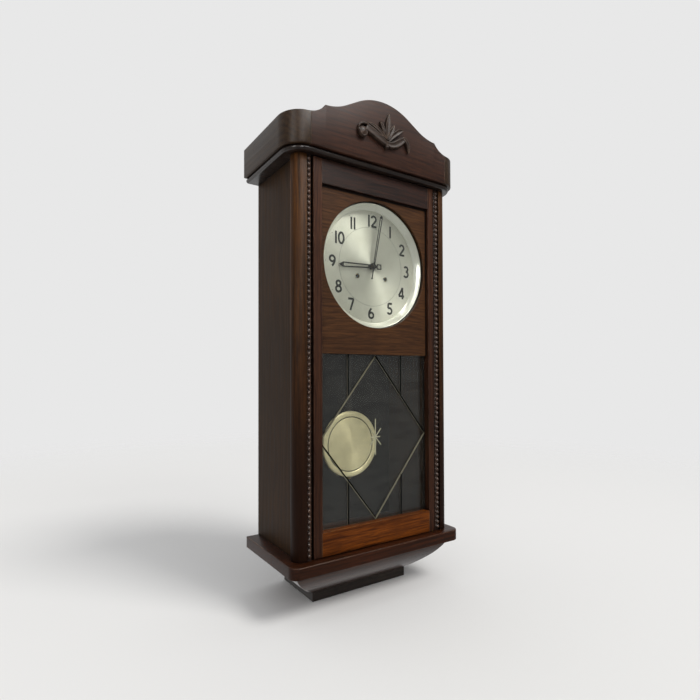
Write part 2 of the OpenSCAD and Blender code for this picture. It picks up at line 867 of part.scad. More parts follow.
module minute_hand() {
    w = minute_w / 2;
    color("#1b1a18") place() rotate([0, minute_at, 0])
        slab(minute_hand_y - hand_t, minute_hand_y) difference() {
            union() {
                circle(4);
                polygon([[-w * 0.66, 0], [-w, minute_len - 3], [0, minute_len],
                         [w, minute_len - 3], [w * 0.66, 0], [1.2, -3],
                         [0.7, -minute_tail], [-0.7, -minute_tail], [-1.2, -3]]);
                translate([0, -minute_tail]) circle(1.5);
            }
            circle(minute_seat_r + press_fit);
            polygon([[-w * 0.22, 7], [-w * 0.5, minute_len - 5], [w * 0.5, minute_len - 5],
                     [w * 0.22, 7]]);
        }
}

module hand_nut() {
    color("#b09a5e") place() difference() {
        bar([0, 0], nut_y - 1.7, nut_y, 2.9);
        bar([0, 0], nut_y - 3, nut_y + 1, thread_r + press_fit);
    }
}

// Gears. Every tooth has straight flanks. The first tooth stands at the angle at.

function teeth(n, m, at, add, tip, root) =
    let (r = n * m / 2, p = 360 / n)
    [for (i = [0:n - 1], k = [0:3])
        let (a = at + i * p, u = [-root, -tip, tip, root][k] * p / 2)
        (k == 1 || k == 2 ? r + add * m : r - 1.15 * m) * dir(a + u)];

// A wheel has a tooth, and a pinion has a gap, on the line to the other's arbor
module wheel(p, n, m, to, y0, y1) {
    slab(y0, y1) translate(p) polygon(teeth(n, m, angle_of(to - p), 0.9, 0.15, 0.6));
}

module pinion(p, n, m, to, y0, y1) {
    slab(y0, y1) translate(p)
        polygon(teeth(n, m, angle_of(to - p) + 180 / n, 0.8, 0.12, 0.5));
}

// An arbor between the plates, with a pivot in each
module arbor(p) {
    bar(p, inside_y + free_gap, inside_back_y - free_gap, arbor_r);
    bar(p, front_plate_y, back_plate_y, pivot_r);
}

module hour_wheel() {
    y = front_plate_y - 6.5;
    color("#b3954f") place() difference() {
        union() {
            wheel(centre_at, hour_n, hour_m, minute_at_xz, y - 1.5, y);
            bar(centre_at, hour_hand_y - hand_t - 0.8, y + 1, hour_pipe_r);
        }
        bar(centre_at, hour_hand_y - 5, y + 2, cannon_r + 0.08);
    }
}

module minute_wheel() {
    color("#b3954f") place() difference() {
        union() {
            wheel(minute_at_xz, minute_n, minute_m, centre_at,
                  front_plate_y - 3.5, front_plate_y - 2);
            pinion(minute_at_xz, minute_pinion_n, hour_m, centre_at,
                   front_plate_y - 8.6, front_plate_y - 5.9);
            bar(minute_at_xz, front_plate_y - 8.6, front_plate_y - free_gap, 2.2);
        }
        bar(minute_at_xz, front_plate_y - 10, front_plate_y + 1, 1.2 + 0.08);
    }
}

// Movement

module plate_outline() {
    difference() {
        translate([-plate_w, -plate_drop]) square([2 * plate_w, plate_drop + plate_top]);
        for (p = [second_at, third_at, escape_at, strike_pin_at, strike_lock_at, fly_at])
            translate(p) circle(pivot_r + run_fit);
        for (p = [time_at, strike_at]) translate(p) circle(wind_arbor_r + run_fit);
        for (s = [-1, 1]) {
            for (z = [pillar_up, pillar_down]) translate([s * pillar_x, z]) circle(2 + run_fit);
            translate([s * post_x, -wind_drop]) circle(1 + run_fit);
        }
    }
}

module front_plate() {
    color("#b39a56") place() union() {
        slab(front_plate_y, inside_y) difference() {
            plate_outline();
            circle(2 + run_fit);
            translate(anchor_at) circle(pivot_r + run_fit);
            translate(hammer_at) circle(pivot_r + run_fit);
        }
        bar(minute_at_xz, front_plate_y - 9.6, front_plate_y, 1.2);
    }
}

module back_plate() {
    color("#b39a56") place() slab(inside_back_y, back_plate_y) difference() {
        plate_outline();
        circle(pivot_r + run_fit);
        translate(anchor_at) circle(4);
        translate(hammer_at) circle(1.2 + run_fit);
    }
}

module plate_pillars() {
    color("#a98f4c") place() for (s = [-1, 1]) {
        for (z = [pillar_up, pillar_down]) {
            p = [s * pillar_x, z];
            union() {
                bar(p, inside_y, inside_back_y, pillar_r);
                bar(p, front_plate_y - 3, back_plate_y + 3, 2);
            }
            for (y = [front_plate_y - 2.6, back_plate_y]) difference() {
                translate([p[0], y + 2.6, p[1]]) rotate([90, 0, 0])
                    cylinder(h = 2.6, r = 4, $fn = 6);
                bar(p, y - 1, y + 4, 2 + press_fit);
            }
        }
        bar([s * post_x, -wind_drop], inside_y, inside_back_y, 1.5);
        bar([s * post_x, -wind_drop], front_plate_y, back_plate_y, 1);
    }
}

module centre_arbor() {
    cannon_y = front_plate_y - 1.2;
    color("#b8a86f") place() union() {
        bar(centre_at, inside_y + free_gap, inside_back_y - free_gap, 1.5);
        bar(centre_at, inside_y, back_plate_y, pivot_r);
        bar(centre_at, inside_y + free_gap, inside_y + 1.5, 3);
        bar(centre_at, cannon_y, inside_y + 1, 2);
        pinion(centre_at, cannon_n, minute_m, minute_at_xz, cannon_y - 2.8, cannon_y);
        bar(centre_at, minute_hand_y, cannon_y, cannon_r);
        bar(centre_at, nut_y, minute_hand_y + 1, minute_seat_r);
        bar(centre_at, nut_y - 2, nut_y + 1, thread_r);
        pinion(centre_at, leaf_n, wheel2_m, second_at, second_layer - 0.3,
               second_layer + wheel_t + 0.3);
        wheel(centre_at, centre_n, fine_m, third_at, centre_layer, centre_layer + wheel_t);
    }
}

// A great wheel on its winding arbor, with the stud of its click
click_at = 15 * dir(40);
module great_wheel(p, to) {
    difference() {
        union() {
            wheel(p, great_n, great_m, to, great_y, great_y + great_t);
            bar(p, great_y - 0.7, inside_back_y - free_gap, 6.5);
            bar(p + click_at, ratchet_y - 0.4, great_y + 1, 1.2);
        }
        bar(p, great_y - 2, inside_back_y + 1, wind_arbor_r + run_fit);
    }
}

module time_great_wheel() {
    color("#b3954f") place() great_wheel(time_at, second_at);
}

module strike_great_wheel() {
    color("#b3954f") place() great_wheel(strike_at, strike_pin_at);
}

// The click: its nose stands in a gap of the ratchet, just clear of the teeth
module click(p) {
    slab(ratchet_y, ratchet_y + 2) translate(p) difference() {
        union() {
            polygon([8.25 * dir(88), 8.65 * dir(83), 9.35 * dir(77), 10.4 * dir(65),
                     12.9 * dir(43), 16.6 * dir(46), 13.6 * dir(66), 10.4 * dir(83),
                     9.6 * dir(88)]);
            translate(click_at) circle(2.6);
        }
        translate(click_at) circle(1.2 + run_fit);
    }
}

module time_click() {
    color("#8f8a80") place() click(time_at);
}

module strike_click() {
    color("#8f8a80") place() click(strike_at);
}

module ratchet_outline() {
    polygon([for (i = [0:ratchet_n - 1], r = [ratchet_r - 1.2, ratchet_r])
        r * dir(360 * i / ratchet_n)]);
}

// A winding arbor with its ratchet, the spring's hub and the square for the key
module winding_arbor(p) {
    union() {
        bar(p, front_plate_y - 1, back_plate_y, wind_arbor_r);
        bar(p, inside_y + free_gap, spring_y0, 3.6);
        bar(p, spring_y0, ratchet_y, 4.5);
        slab(ratchet_y, ratchet_y + 2) translate(p) ratchet_outline();
        translate([p[0] - 1.77, dial_y + 0.5, p[1] - 1.77])
            cube([3.54, front_plate_y - dial_y, 3.54]);
    }
}

module time_winding_arbor() {
    color("#9b988e") place() winding_arbor(time_at);
}

module strike_winding_arbor() {
    color("#9b988e") place() winding_arbor(strike_at);
}

// A mainspring: a flat spiral whose outer end is looped round a post between the plates
post_reach = 23.8;
post_x = wind_x + post_reach;
spring_turns = 6;
function spiral(end, n, t) = [for (i = [0:n])
    (5.4 + 15.8 * i / n + t) * dir(end + 360 * spring_turns * (1 - i / n))];

module mainspring(p, end) {
    n = spring_turns * 24;
    inner = spiral(end, n, -0.3);
    outer = spiral(end, n, 0.3);
    slab(spring_y0, spring_y1) translate(p) union() {
        polygon(concat(inner, [for (i = [n:-1:0]) outer[i]]));
        translate(post_reach * dir(end)) difference() {
            circle(2.7);
            circle(1.5 + run_fit);
        }
    }
}

module mainsprings() {
    color("#6d6a66") place() {
        mainspring(time_at, 0);
        mainspring(strike_at, 180);
    }
}

module time_second_arbor() {
    color("#b3954f") place() union() {
        arbor(second_at);
        pinion(second_at, great_pinion_n, great_m, time_at, great_y - 0.5,
               great_y + great_t + 0.5);
        wheel(second_at, wheel2_n, wheel2_m, centre_at, second_layer,
              second_layer + wheel_t);
    }
}

module third_arbor() {
    color("#b3954f") place() union() {
        arbor(third_at);
        pinion(third_at, leaf_n, fine_m, centre_at, centre_layer - 0.3,
               centre_layer + wheel_t + 0.3);
        wheel(third_at, third_n, fine_m, escape_at, third_layer, third_layer + wheel_t);
    }
}

module escape_arbor() {
    p = 360 / escape_n;
    at = angle_of(anchor_at - escape_at);
    color("#b3954f") place() union() {
        arbor(escape_at);
        pinion(escape_at, leaf_n, fine_m, third_at, third_layer - 0.3,
               third_layer + wheel_t + 0.3);
        slab(escape_layer, escape_layer + 1.5) translate(escape_at)
            polygon([for (i = [0:escape_n - 1], k = [0:3])
                ([11.4, escape_r, escape_r, 11.4][k])
                    * dir(at + (i + [-0.32, -0.06, 0.06, 0.14][k]) * p)]);
    }
}

// The anchor, its arbor and the crutch that takes the pendulum's rod between two prongs
module anchor() {
    line = angle_of(anchor_at - escape_at);
    crutch_z = -24;
    prong = rod_w / 2 + 0.4;
    color("#8b8880") place() union() {
        bar(anchor_at, inside_y + free_gap, cock_y - free_gap, arbor_r);
        bar(anchor_at, front_plate_y, cock_y + cock_t, pivot_r);
        slab(escape_layer, escape_layer + 1.5) union() {
            translate(anchor_at) circle(3);
            for (s = [-1, 1]) {
                end = escape_at + 17.3 * dir(line + s * escape_half);
                translate(anchor_at) rotate(angle_of(end - anchor_at))
                    translate([0, -1.2]) square([norm(end - anchor_at) + 0.6, 2.4]);
                translate(escape_at) rotate(line + s * escape_half)
                    translate([escape_r + pallet_gap, -0.5]) square([3.9 - pallet_gap, 1]);
            }
        }
        bar(anchor_at, back_plate_y + 0.7, cock_y - free_gap, 3.2);
        block([-1.6, back_plate_y + 1, crutch_z], [1.6, back_plate_y + 2.4, susp_z]);
        block([-prong - 1.2, back_plate_y + 1, crutch_z],
              [prong + 1.2, back_plate_y + 2.4, crutch_z + 4]);
        both_sides() block([prong, back_plate_y + 1, crutch_z],
                           [prong + 1.2, rod_y + rod_t / 2 + 1, crutch_z + 4]);
    }
}

module back_cock() {
    color("#b39a56") place() union() {
        difference() {
            slab(cock_y, cock_y + cock_t) translate([-19, susp_z - 5]) square([38, 13]);
            bar(anchor_at, cock_y - 1, cock_y + cock_t + 1, pivot_r + run_fit);
        }
        for (s = [-1, 1]) bar([s * 16, susp_z], back_plate_y, cock_y + 0.5, 2.5);
        difference() {
            block([-4, cock_y + 1, stud_z0], [4, rod_y + rod_t / 2, stud_z1]);
            block([-0.9, rod_y - rod_t / 2 - 1.5, stud_z0 - 1],
                  [0.9, rod_y + rod_t, stud_z1 + 1]);
        }
    }
}

module strike_pin_arbor() {
    color("#b3954f") place() union() {
        arbor(strike_pin_at);
        pinion(strike_pin_at, great_pinion_n, great_m, strike_at, great_y - 0.5,
               great_y + great_t + 0.5);
        wheel(strike_pin_at, wheel2_n, wheel2_m, strike_lock_at, pin_layer,
              pin_layer + wheel_t);
        for (i = [0:pin_n - 1])
            bar(strike_pin_at + pin_circle_r * dir(22.5 + 45 * i), pin_layer + 1,
                pin_layer + 5, 0.8);
    }
}

module strike_lock_arbor() {
    color("#b3954f") place() union() {
        arbor(strike_lock_at);
        pinion(strike_lock_at, leaf_n, wheel2_m, strike_pin_at, pin_layer - 0.3,
               pin_layer + wheel_t + 0.3);
        wheel(strike_lock_at, lock_n, fine_m, fly_at, centre_layer, centre_layer + wheel_t);
    }
}

module strike_fly() {
    color("#b3954f") place() union() {
        arbor(fly_at);
        pinion(fly_at, leaf_n, fine_m, strike_lock_at, centre_layer - 0.3,
               centre_layer + wheel_t + 0.3);
        slab(third_layer, third_layer + 14) translate(fly_at - [fly_r, 0.3])
            square([2 * fly_r, 0.6]);
        bar(fly_at, third_layer, third_layer + 14, 2);
    }
}

// The hammer: a tail by the strike's pins, an arbor through the back plate and a head
hammer_head = gong_at + [-gong_r - gong_wire_r - 0.8, 0];
module hammer() {
    reach = hammer_head + [-5.8, 0] - hammer_at;
    tail = norm(strike_pin_at - hammer_at) - pin_circle_r - 1.2;
    color("#8f8a80") place() union() {
        bar(hammer_at, inside_y + free_gap, gong_y + 1.5, 1.2);
        bar(hammer_at, front_plate_y, inside_y + 1, pivot_r);
        slab(pin_layer + 2.4, pin_layer + 3.6) translate(hammer_at) union() {
            circle(2.4);
            rotate(angle_of(strike_pin_at - hammer_at)) translate([0, -0.8])
                square([tail, 1.6]);
        }
        translate([hammer_at[0], gong_y, hammer_at[1]])
            rotate([0, 90 - angle_of(reach), 0]) cylinder(h = norm(reach), r = 1.3);
        translate([hammer_head[0] - 8.8, gong_y, hammer_head[1]]) rotate([0, 90, 0])
            cylinder(h = 8.8, r = 4.5);
    }
}

// The gong: a wire of six flats, coiled from the stand outwards
module gong_coil() {
    n = gong_turns * 24;
    c = [for (i = [0:n]) gong_start_r + (gong_r - gong_start_r) * i / n];
    pts = [for (i = [0:n], k = [0:5]) let (d = dir(15 * i + 180), q = dir(60 * k + 30))
        [d[0] * (c[i] + gong_wire_r * q[0]), gong_wire_r * q[1],
         d[1] * (c[i] + gong_wire_r * q[0])]];
    sides = [for (i = [0:n - 1], k = [0:5], h = [0, 1])
        let (a = 6 * i + k, b = 6 * i + (k + 1) % 6)
        h == 0 ? [a, b, b + 6] : [a, b + 6, a + 6]];
    caps = [[for (k = [5:-1:0]) k], [for (k = [0:5]) 6 * n + k]];
    color("#7b6a44") place() translate([gong_at[0], gong_y, gong_at[1]])
        polyhedron(points = pts, faces = concat(sides, caps));
}

module gong_stand() {
    w = gong_wire_r + 1;
    color("#5d5a54") place() union() {
        bar(gong_at, -22, -back_t, 9);
        block([gong_at[0] - gong_start_r - w, gong_y - w, gong_at[1]],
              [gong_at[0] - gong_start_r + w, -21, gong_at[1] + 5]);
    }
}

module movement_brackets() {
    color("#6f6c66") place() both_sides() union() {
        block([46, front_plate_y - 2, -plate_drop - 3], [60, -back_t, -plate_drop]);
        block([46, -back_t - 3, -plate_drop - 22], [60, -back_t, -plate_drop]);
    }
}

// Pendulum

module suspension_spring() {
    color("#a7a49b") place() union() {
        block([-0.15, rod_y - 2.5, rod_top + 6], [0.15, rod_y + 2, stud_z1 + 1]);
        translate([-3.2, rod_y, stud_z1 + free_gap + 0.75]) rotate([0, 90, 0])
            cylinder(h = 6.4, r = 0.7);
        block([-1.5, rod_y - 2, rod_top - 9], [1.5, rod_y + 2, rod_top + 8]);
    }
}

module pendulum_rod() {
    color("#8a6a42") place() union() {
        difference() {
            block([-rod_w / 2, rod_y - rod_t / 2, rod_bottom],
                  [rod_w / 2, rod_y + rod_t / 2, rod_top]);
            block([-1.5 - press_fit, rod_y - rod_t, rod_top - 9.2],
                  [1.5 + press_fit, rod_y + rod_t, rod_top + 1]);
        }
        translate([0, rod_y, bob_z - bob_r - 6])
            cylinder(h = rod_bottom - bob_z + bob_r + 7, r = 1.4);
    }
}

// The bob: a turned disc with a groove and a raised rim, held to the rod by two straps
module bob_strap(z) {
    difference() {
        block([-9, rod_y - rod_t / 2 - 0.5, z - 3], [9, rod_y + rod_t / 2 + 1.2, z + 3]);
        block([-rod_w / 2 - seat_fit, rod_y - rod_t / 2 - 1, z - 4],
              [rod_w / 2 + seat_fit, rod_y + rod_t / 2 + seat_fit, z + 4]);
    }
}

module pendulum_bob() {
    back = rod_y - rod_t / 2 - seat_fit;
    face = -bob_face_y;
    color("#c2b98a") place() union() {
        translate([0, 0, bob_z]) rotate([90, 0, 0]) rotate_extrude($fn = 128) polygon([
            [0, -back], [bob_r - 0.6, -back], [bob_r, -back + 0.8], [bob_r, face - 1.6],
            [bob_r - 1.6, face - 0.2], [bob_r - 4, face], [bob_disc_r + 1.4, face - 0.7],
            [bob_disc_r + 0.7, face - 1.9], [bob_disc_r, face - 1.2], [0, face - 0.4]
        ]);
        bob_strap(bob_z + 34);
        bob_strap(bob_z - 36);
    }
}

module rating_nut() {
    color("#b8a15a") place() difference() {
        translate([0, rod_y, bob_z - bob_r - 3.7]) cylinder(h = 3.5, r = 4.2);
        translate([0, rod_y, bob_z - bob_r - 5]) cylinder(h = 7, r = 1.4 + press_fit);
    }
}

back_board();
case_sides();
corner_post_left();
corner_post_right();
bead_strips();
case_top_board();
hood_front_board();
hood_sides();
hood_ornament();
base_board();
console_front();
console_sides();
console_foot();
hanger_plate();
hanger_screws();
door_stile_left();
door_stile_right();
door_top_rail();
door_bottom_rail();
door_dial_panel();
door_dial_glass();
door_glass();
door_glazing_strips();
door_hinge_pins();
door_catch_shell();
door_catch_ball();
dial_plate();
dial_ring();
hour_hand();
minute_hand();
hand_nut();
hour_wheel();
minute_wheel();
front_plate();
back_plate();
plate_pillars();
centre_arbor();
time_great_wheel();
time_click();
time_winding_arbor();
mainsprings();
time_second_arbor();
third_arbor();
escape_arbor();
anchor();
back_cock();
strike_great_wheel();
strike_click();
strike_winding_arbor();
strike_pin_arbor();
strike_lock_arbor();
strike_fly();
hammer();
gong_coil();
gong_stand();
movement_brackets();
suspension_spring();
pendulum_rod();
pendulum_bob();
rating_nut();
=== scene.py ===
"""Wall regulator clock: an oak case, a glazed door, an eight day movement and a pendulum.

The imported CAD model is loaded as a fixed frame. New pieces are laid over it, and every
piece and every CAD node gets its finish here. Shapes are worked out in millimetres from
the middle of the dial: X to the right, the front towards -Y, Z up.
"""

import math

import bpy
import numpy as np
from mathutils import Euler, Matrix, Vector


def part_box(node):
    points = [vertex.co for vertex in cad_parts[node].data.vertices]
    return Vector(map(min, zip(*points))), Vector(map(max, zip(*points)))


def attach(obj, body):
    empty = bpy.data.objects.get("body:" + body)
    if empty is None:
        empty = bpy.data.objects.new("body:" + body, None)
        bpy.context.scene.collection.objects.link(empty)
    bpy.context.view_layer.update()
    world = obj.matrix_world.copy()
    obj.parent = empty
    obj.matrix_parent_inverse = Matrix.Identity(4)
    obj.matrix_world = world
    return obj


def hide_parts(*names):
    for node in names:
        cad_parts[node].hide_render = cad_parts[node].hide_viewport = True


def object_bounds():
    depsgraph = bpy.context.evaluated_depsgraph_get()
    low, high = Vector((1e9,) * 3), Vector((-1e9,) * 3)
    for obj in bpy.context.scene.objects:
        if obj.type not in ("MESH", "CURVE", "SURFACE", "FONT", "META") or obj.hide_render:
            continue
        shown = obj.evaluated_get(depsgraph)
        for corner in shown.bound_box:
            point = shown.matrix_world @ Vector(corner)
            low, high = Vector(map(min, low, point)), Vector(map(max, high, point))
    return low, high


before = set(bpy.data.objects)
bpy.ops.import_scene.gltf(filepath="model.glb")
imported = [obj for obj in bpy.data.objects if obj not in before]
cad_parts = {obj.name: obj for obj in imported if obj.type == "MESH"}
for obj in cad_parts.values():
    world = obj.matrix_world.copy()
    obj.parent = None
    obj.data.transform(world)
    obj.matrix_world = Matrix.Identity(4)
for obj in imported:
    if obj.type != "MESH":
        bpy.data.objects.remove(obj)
CAD_BOX = [list(corner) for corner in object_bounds()]

bl_info = {
    "name": "Wall Regulator Clock",
    "version": (1, 0, 0),
    "blender": (4, 5, 0),
    "location": "View3D > Sidebar > Regulator",
    "description": "Carved and turned pieces and finishes for the wall regulator clock",
    "category": "Object",
}

MM = 0.001
LOW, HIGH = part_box("dial_plate")
DIAL_Z = (LOW.z + HIGH.z) / 2  # the middle of the dial, under the hanging hole
FLOOR_Z = CAD_BOX[0][2]

# Where the CAD stands that the pieces keep to, in mm from the middle of the dial
CASE_TOP = 142.0  # under the hood's top board
HOOD_FOOT = 149.5  # on that board, where the hood's walls stand
HOOD_FACE = -155.0
HOOD_THICK = 14.0
BASE_TOP = -430.5
BASE_LOW = -447.5
BEAD_X = 125.0
DIAL_FACE = -121.5
BOB_Z = -286.55
BOB_FACE = -62.5


# Colours and nodes


def linear(code):
    """An sRGB hex colour as linear RGBA: each channel goes through the sRGB curve."""
    s = np.array([int(code[i : i + 2], 16) for i in (0, 2, 4)]) / 255
    c = np.where(s <= 0.04045, s / 12.92, ((s + 0.055) / 1.055) ** 2.4)
    return (*map(float, c), 1.0)


def feed(tree, made, inputs):
    """Links sockets, or a node's first output, into a node's inputs, or sets plain values."""
    for key, value in inputs.items():
        if isinstance(value, bpy.types.Node):
            value = value.outputs[0]
        if isinstance(value, bpy.types.NodeSocket):
            tree.links.new(value, made.inputs[key])
        else:
            made.inputs[key].default_value = value


def node(tree, kind, inputs=None, **settings):
    """Adds a shader node with its settings, links and plain values."""
    made = tree.nodes.new("ShaderNode" + kind)
    for name, value in settings.items():
        setattr(made, name, value)
    feed(tree, made, inputs or {})
    return made


def layered(tree, colour, layers):
    """A hex colour under layers of (share, hex colour), each laid over those before it."""
    shown = linear(colour)
    for share, code in layers:
        shown = node(tree, "Mix", {0: share, 6: shown, 7: linear(code)},
                     data_type="RGBA").outputs[2]
    return shown


def finish(name, colour="808080", **sockets):
    """A new material: its tree, its Principled shader with values on its own sockets, and
    its output."""
    made = bpy.data.materials.new(name)
    made.use_nodes = True
    tree = made.node_tree
    tree.nodes.clear()
    shader = node(tree, "BsdfPrincipled", {"Base Color": linear(colour)})
    feed(tree, shader, {key.replace("_", " "): value for key, value in sockets.items()})
    return made, tree, shader, node(tree, "OutputMaterial", {"Surface": shader})


GRAIN_TURN = {"X": (0, 0, 0), "Y": (0, 0, math.pi / 2), "Z": (0, math.pi / 2, 0)}


def oak(name, dark, body, light, along, ring, arch=0.0, shift=(0, 0, 0), grain=1.0,
        rubbed_and_lit_colour="7a5a44", rubbed_and_lit_share=0.6, roughness=0.42, coat=0.0, blotch=0.5, grime_and_shade=0.85, gloss=0.3,
        foot=0.0, painted_shadow_edges=None):
    """Oak, stained dark, grain filled and French polished, rubbed pale on its arrises, where a
    painted highlight lies too; painted shade darkens its corners.
    To the eye: a satin brown board with darker rings and short pores along the grain."""
    made, tree, shader, _ = finish(
        name, body, Coat_Weight=coat, Coat_Roughness=0.16, Specular_IOR_Level=gloss)
    place = node(tree, "TexCoord").outputs["Object"]
    board = node(tree, "Mapping", {"Vector": place, "Rotation": GRAIN_TURN[along],
                                   "Location": shift})
    # growth rings, ring mm apart: straight or arched bands, bent by a noise that is
    # stretched 6.5 times along the grain
    slow = node(tree, "Mapping", {"Vector": board, "Scale": (4.0, 26.0, 26.0)})
    bend = node(tree, "TexNoise", {"Vector": slow, "Scale": 1.0, "Detail": 3.0,
                                   "Roughness": 0.55})
    x, y, z = node(tree, "SeparateXYZ", {"Vector": board}).outputs
    square = node(tree, "Math", {0: x, 1: x}, operation="MULTIPLY")
    arched = node(tree, "Math", {0: square, 1: arch, 2: z}, operation="MULTIPLY_ADD")
    across = node(tree, "Math", {0: y, 1: 0.7, 2: arched}, operation="MULTIPLY_ADD")
    bent = node(tree, "Math", {0: bend, 1: 0.045, 2: across}, operation="MULTIPLY_ADD")
    turns = node(tree, "Math", {0: bent, 1: 2 * math.pi / (ring * MM)}, operation="MULTIPLY")
    wave = node(tree, "Math", {0: turns}, operation="SINE")
    rings = node(tree, "MapRange", {"Value": wave, "From Min": -1.0, "From Max": 1.0})
    # pores: real ones are 0.3 mm wide, drawn 0.8 mm wide and 16 mm long so that they show
    fine = node(tree, "Mapping", {"Vector": board, "Scale": (60.0, 1250.0, 1250.0)})
    speck = node(tree, "TexNoise", {"Vector": fine, "Scale": 1.0, "Detail": 2.0,
                                    "Roughness": 0.6})
    pores = node(tree, "MapRange", {"Value": speck, "From Min": 0.46, "From Max": 0.66})
    depth = node(tree, "Math", {0: pores, 1: 0.55 * grain}, operation="MULTIPLY")
    # fibre: streaks 3 mm wide and 125 mm long
    fibre = node(tree, "Mapping", {"Vector": board, "Scale": (8.0, 330.0, 330.0)})
    streak = node(tree, "TexNoise", {"Vector": fibre, "Scale": 1.0, "Detail": 3.0,
                                     "Roughness": 0.65})
    mottle = node(tree, "MapRange", {"Value": streak, "From Min": 0.38, "From Max": 0.66,
                                     "To Max": 0.75 * grain})
    # the stain took unevenly over patches of about 90 mm
    cloud = node(tree, "TexNoise", {"Vector": place, "Scale": 11.0, "Detail": 2.0})
    patch = node(tree, "MapRange", {"Value": cloud, "From Min": 0.35, "From Max": 0.65,
                                    "To Max": blotch})
    # rubbed wear and a painted highlight: near an arris, where the rounded normal leaves the
    # face's own, the colour goes paler, as polish rubbed off and as the bright line a rounded
    # arris catches
    soft = node(tree, "Bevel", {"Radius": 1.6 * MM}, samples=6)
    own = node(tree, "NewGeometry").outputs["Normal"]
    same = node(tree, "VectorMath", {0: soft, 1: own}, operation="DOT_PRODUCT")
    arris = node(tree, "MapRange", {"Value": same.outputs["Value"], "From Min": 0.995,
                                    "From Max": 0.8})
    rub = node(tree, "TexNoise", {"Vector": place, "Scale": 70.0, "Detail": 3.0})
    rubbed_and_lit_patches = node(tree, "MapRange", {"Value": rub, "From Min": 0.38, "From Max": 0.62,
                                     "To Max": rubbed_and_lit_share})
    rubbed_and_lit_mask = node(tree, "Math", {0: arris, 1: rubbed_and_lit_patches}, operation="MULTIPLY")
    layers = [(rings, body), (mottle, light), (patch, dark), (depth, "120b08"),
              (rubbed_and_lit_mask, rubbed_and_lit_colour)]
    spot = node(tree, "SeparateXYZ", {"Vector": place}).outputs
    if foot:
        # darker towards the foot, from 0.12 m to 0.5 m down
        deep = node(tree, "MapRange", {"Value": spot["Z"], "From Min": -0.12,
                                       "From Max": -0.5, "To Max": foot})
        layers.append((deep, "1a0903"))
    if painted_shadow_edges:
        # painted shadow: black along the panel's right and upper edge, up to the given (x, z),
        # where the stile and the rail shade the recessed panel
        for axis, edge, reach in zip("XZ", painted_shadow_edges, (3.2 * MM, 4.2 * MM)):
            line = node(tree, "MapRange", {"Value": spot[axis], "From Min": edge - reach,
                                           "From Max": edge - reach * 0.7, "To Max": 0.93})
            layers.append((line, "060403"))
    if grime_and_shade:
        # painted shade with grime: ambient occlusion turns the corners black up to 8 mm out of
        # them, for the shade that falls there and the dust in old polish
        corner = node(tree, "AmbientOcclusion", {"Distance": 8 * MM}, samples=6)
        grime_and_shade_mask = node(tree, "MapRange", {"Value": corner.outputs["AO"], "From Min": 0.25,
                                        "From Max": 0.8, "To Min": grime_and_shade, "To Max": 0.0})
        layers.append((grime_and_shade_mask, "0a0605"))
    dull = node(tree, "MapRange", {"Value": streak, "From Min": 0.3, "From Max": 0.7,
                                   "To Min": roughness - 0.05, "To Max": roughness + 0.1})
    height = node(tree, "Math", {0: pores, 1: -0.7, 2: streak}, operation="MULTIPLY_ADD")
    relief = node(tree, "Bump", {"Height": height, "Strength": 0.35, "Distance": 0.15 * MM,
                                 "Normal": soft})
    feed(tree, shader, {"Base Color": layered(tree, dark, layers), "Roughness": dull,
                        "Normal": relief})
    return made


def spun_metal(name, colour, second, roughness, centre, aniso, metallic, lines=0.9,
               tarnish=0.4):
    """Sheet metal turned on a lathe with fine circular scratches round centre.
    To the eye: light gathers in wedges that run out from the middle."""
    made, tree, shader, _ = finish(name, colour, Metallic=metallic, Anisotropic=aniso)
    place = node(tree, "TexCoord").outputs["Object"]
    arm = node(tree, "VectorMath", {0: place, 1: centre}, operation="SUBTRACT")
    along = node(tree, "VectorMath", {0: arm, 1: (1, 0, 1)}, operation="MULTIPLY")
    # the highlight stretches along the tangent, so that one points out from the middle
    tangent = node(tree, "VectorMath", {0: along}, operation="NORMALIZE")
    reach = node(tree, "VectorMath", {0: along}, operation="LENGTH")
    # scratches: drawn 0.6 mm apart so that they show
    thread = node(tree, "TexNoise", {"W": reach.outputs["Value"], "Scale": 1600.0,
                                     "Detail": 2.0}, noise_dimensions="1D")
    dull = node(tree, "MapRange", {"Value": thread, "From Min": 0.3, "From Max": 0.7,
                                   "To Min": roughness * (1 - 0.3 * lines),
                                   "To Max": roughness * (1 + 0.3 * lines)})
    spot = node(tree, "TexNoise", {"Vector": place, "Scale": 45.0, "Detail": 4.0,
                                   "Roughness": 0.6})
    aged = node(tree, "MapRange", {"Value": spot, "From Min": 0.4, "From Max": 0.7,
                                   "To Max": tarnish})
    feed(tree, shader, {"Base Color": layered(tree, colour, [(aged, second)]),
                        "Roughness": dull, "Tangent": tangent})
    return made


def plain_metal(name, colour, second, roughness, size=8.0, bump=0.05, metallic=1.0):
    """Rolled, drawn or forged metal: fine marks of about size mm in tone and gloss."""
    made, tree, shader, _ = finish(name, colour, Metallic=metallic)
    place = node(tree, "TexCoord").outputs["Object"]
    mark = node(tree, "TexNoise", {"Vector": place, "Scale": 1000.0 / size, "Detail": 4.0,
                                   "Roughness": 0.6})
    marked = node(tree, "MapRange", {"Value": mark, "From Min": 0.35, "From Max": 0.7})
    dull = node(tree, "MapRange", {"Value": mark, "From Min": 0.3, "From Max": 0.7,
                                   "To Min": roughness * 0.8, "To Max": roughness * 1.25})
    soft = node(tree, "Bevel", {"Radius": 0.4 * MM}, samples=4)
    relief = node(tree, "Bump", {"Height": mark, "Strength": bump, "Distance": 0.1 * MM,
                                 "Normal": soft})
    feed(tree, shader, {"Base Color": layered(tree, colour, [(marked, second)]),
                        "Roughness": dull, "Normal": relief})
    return made


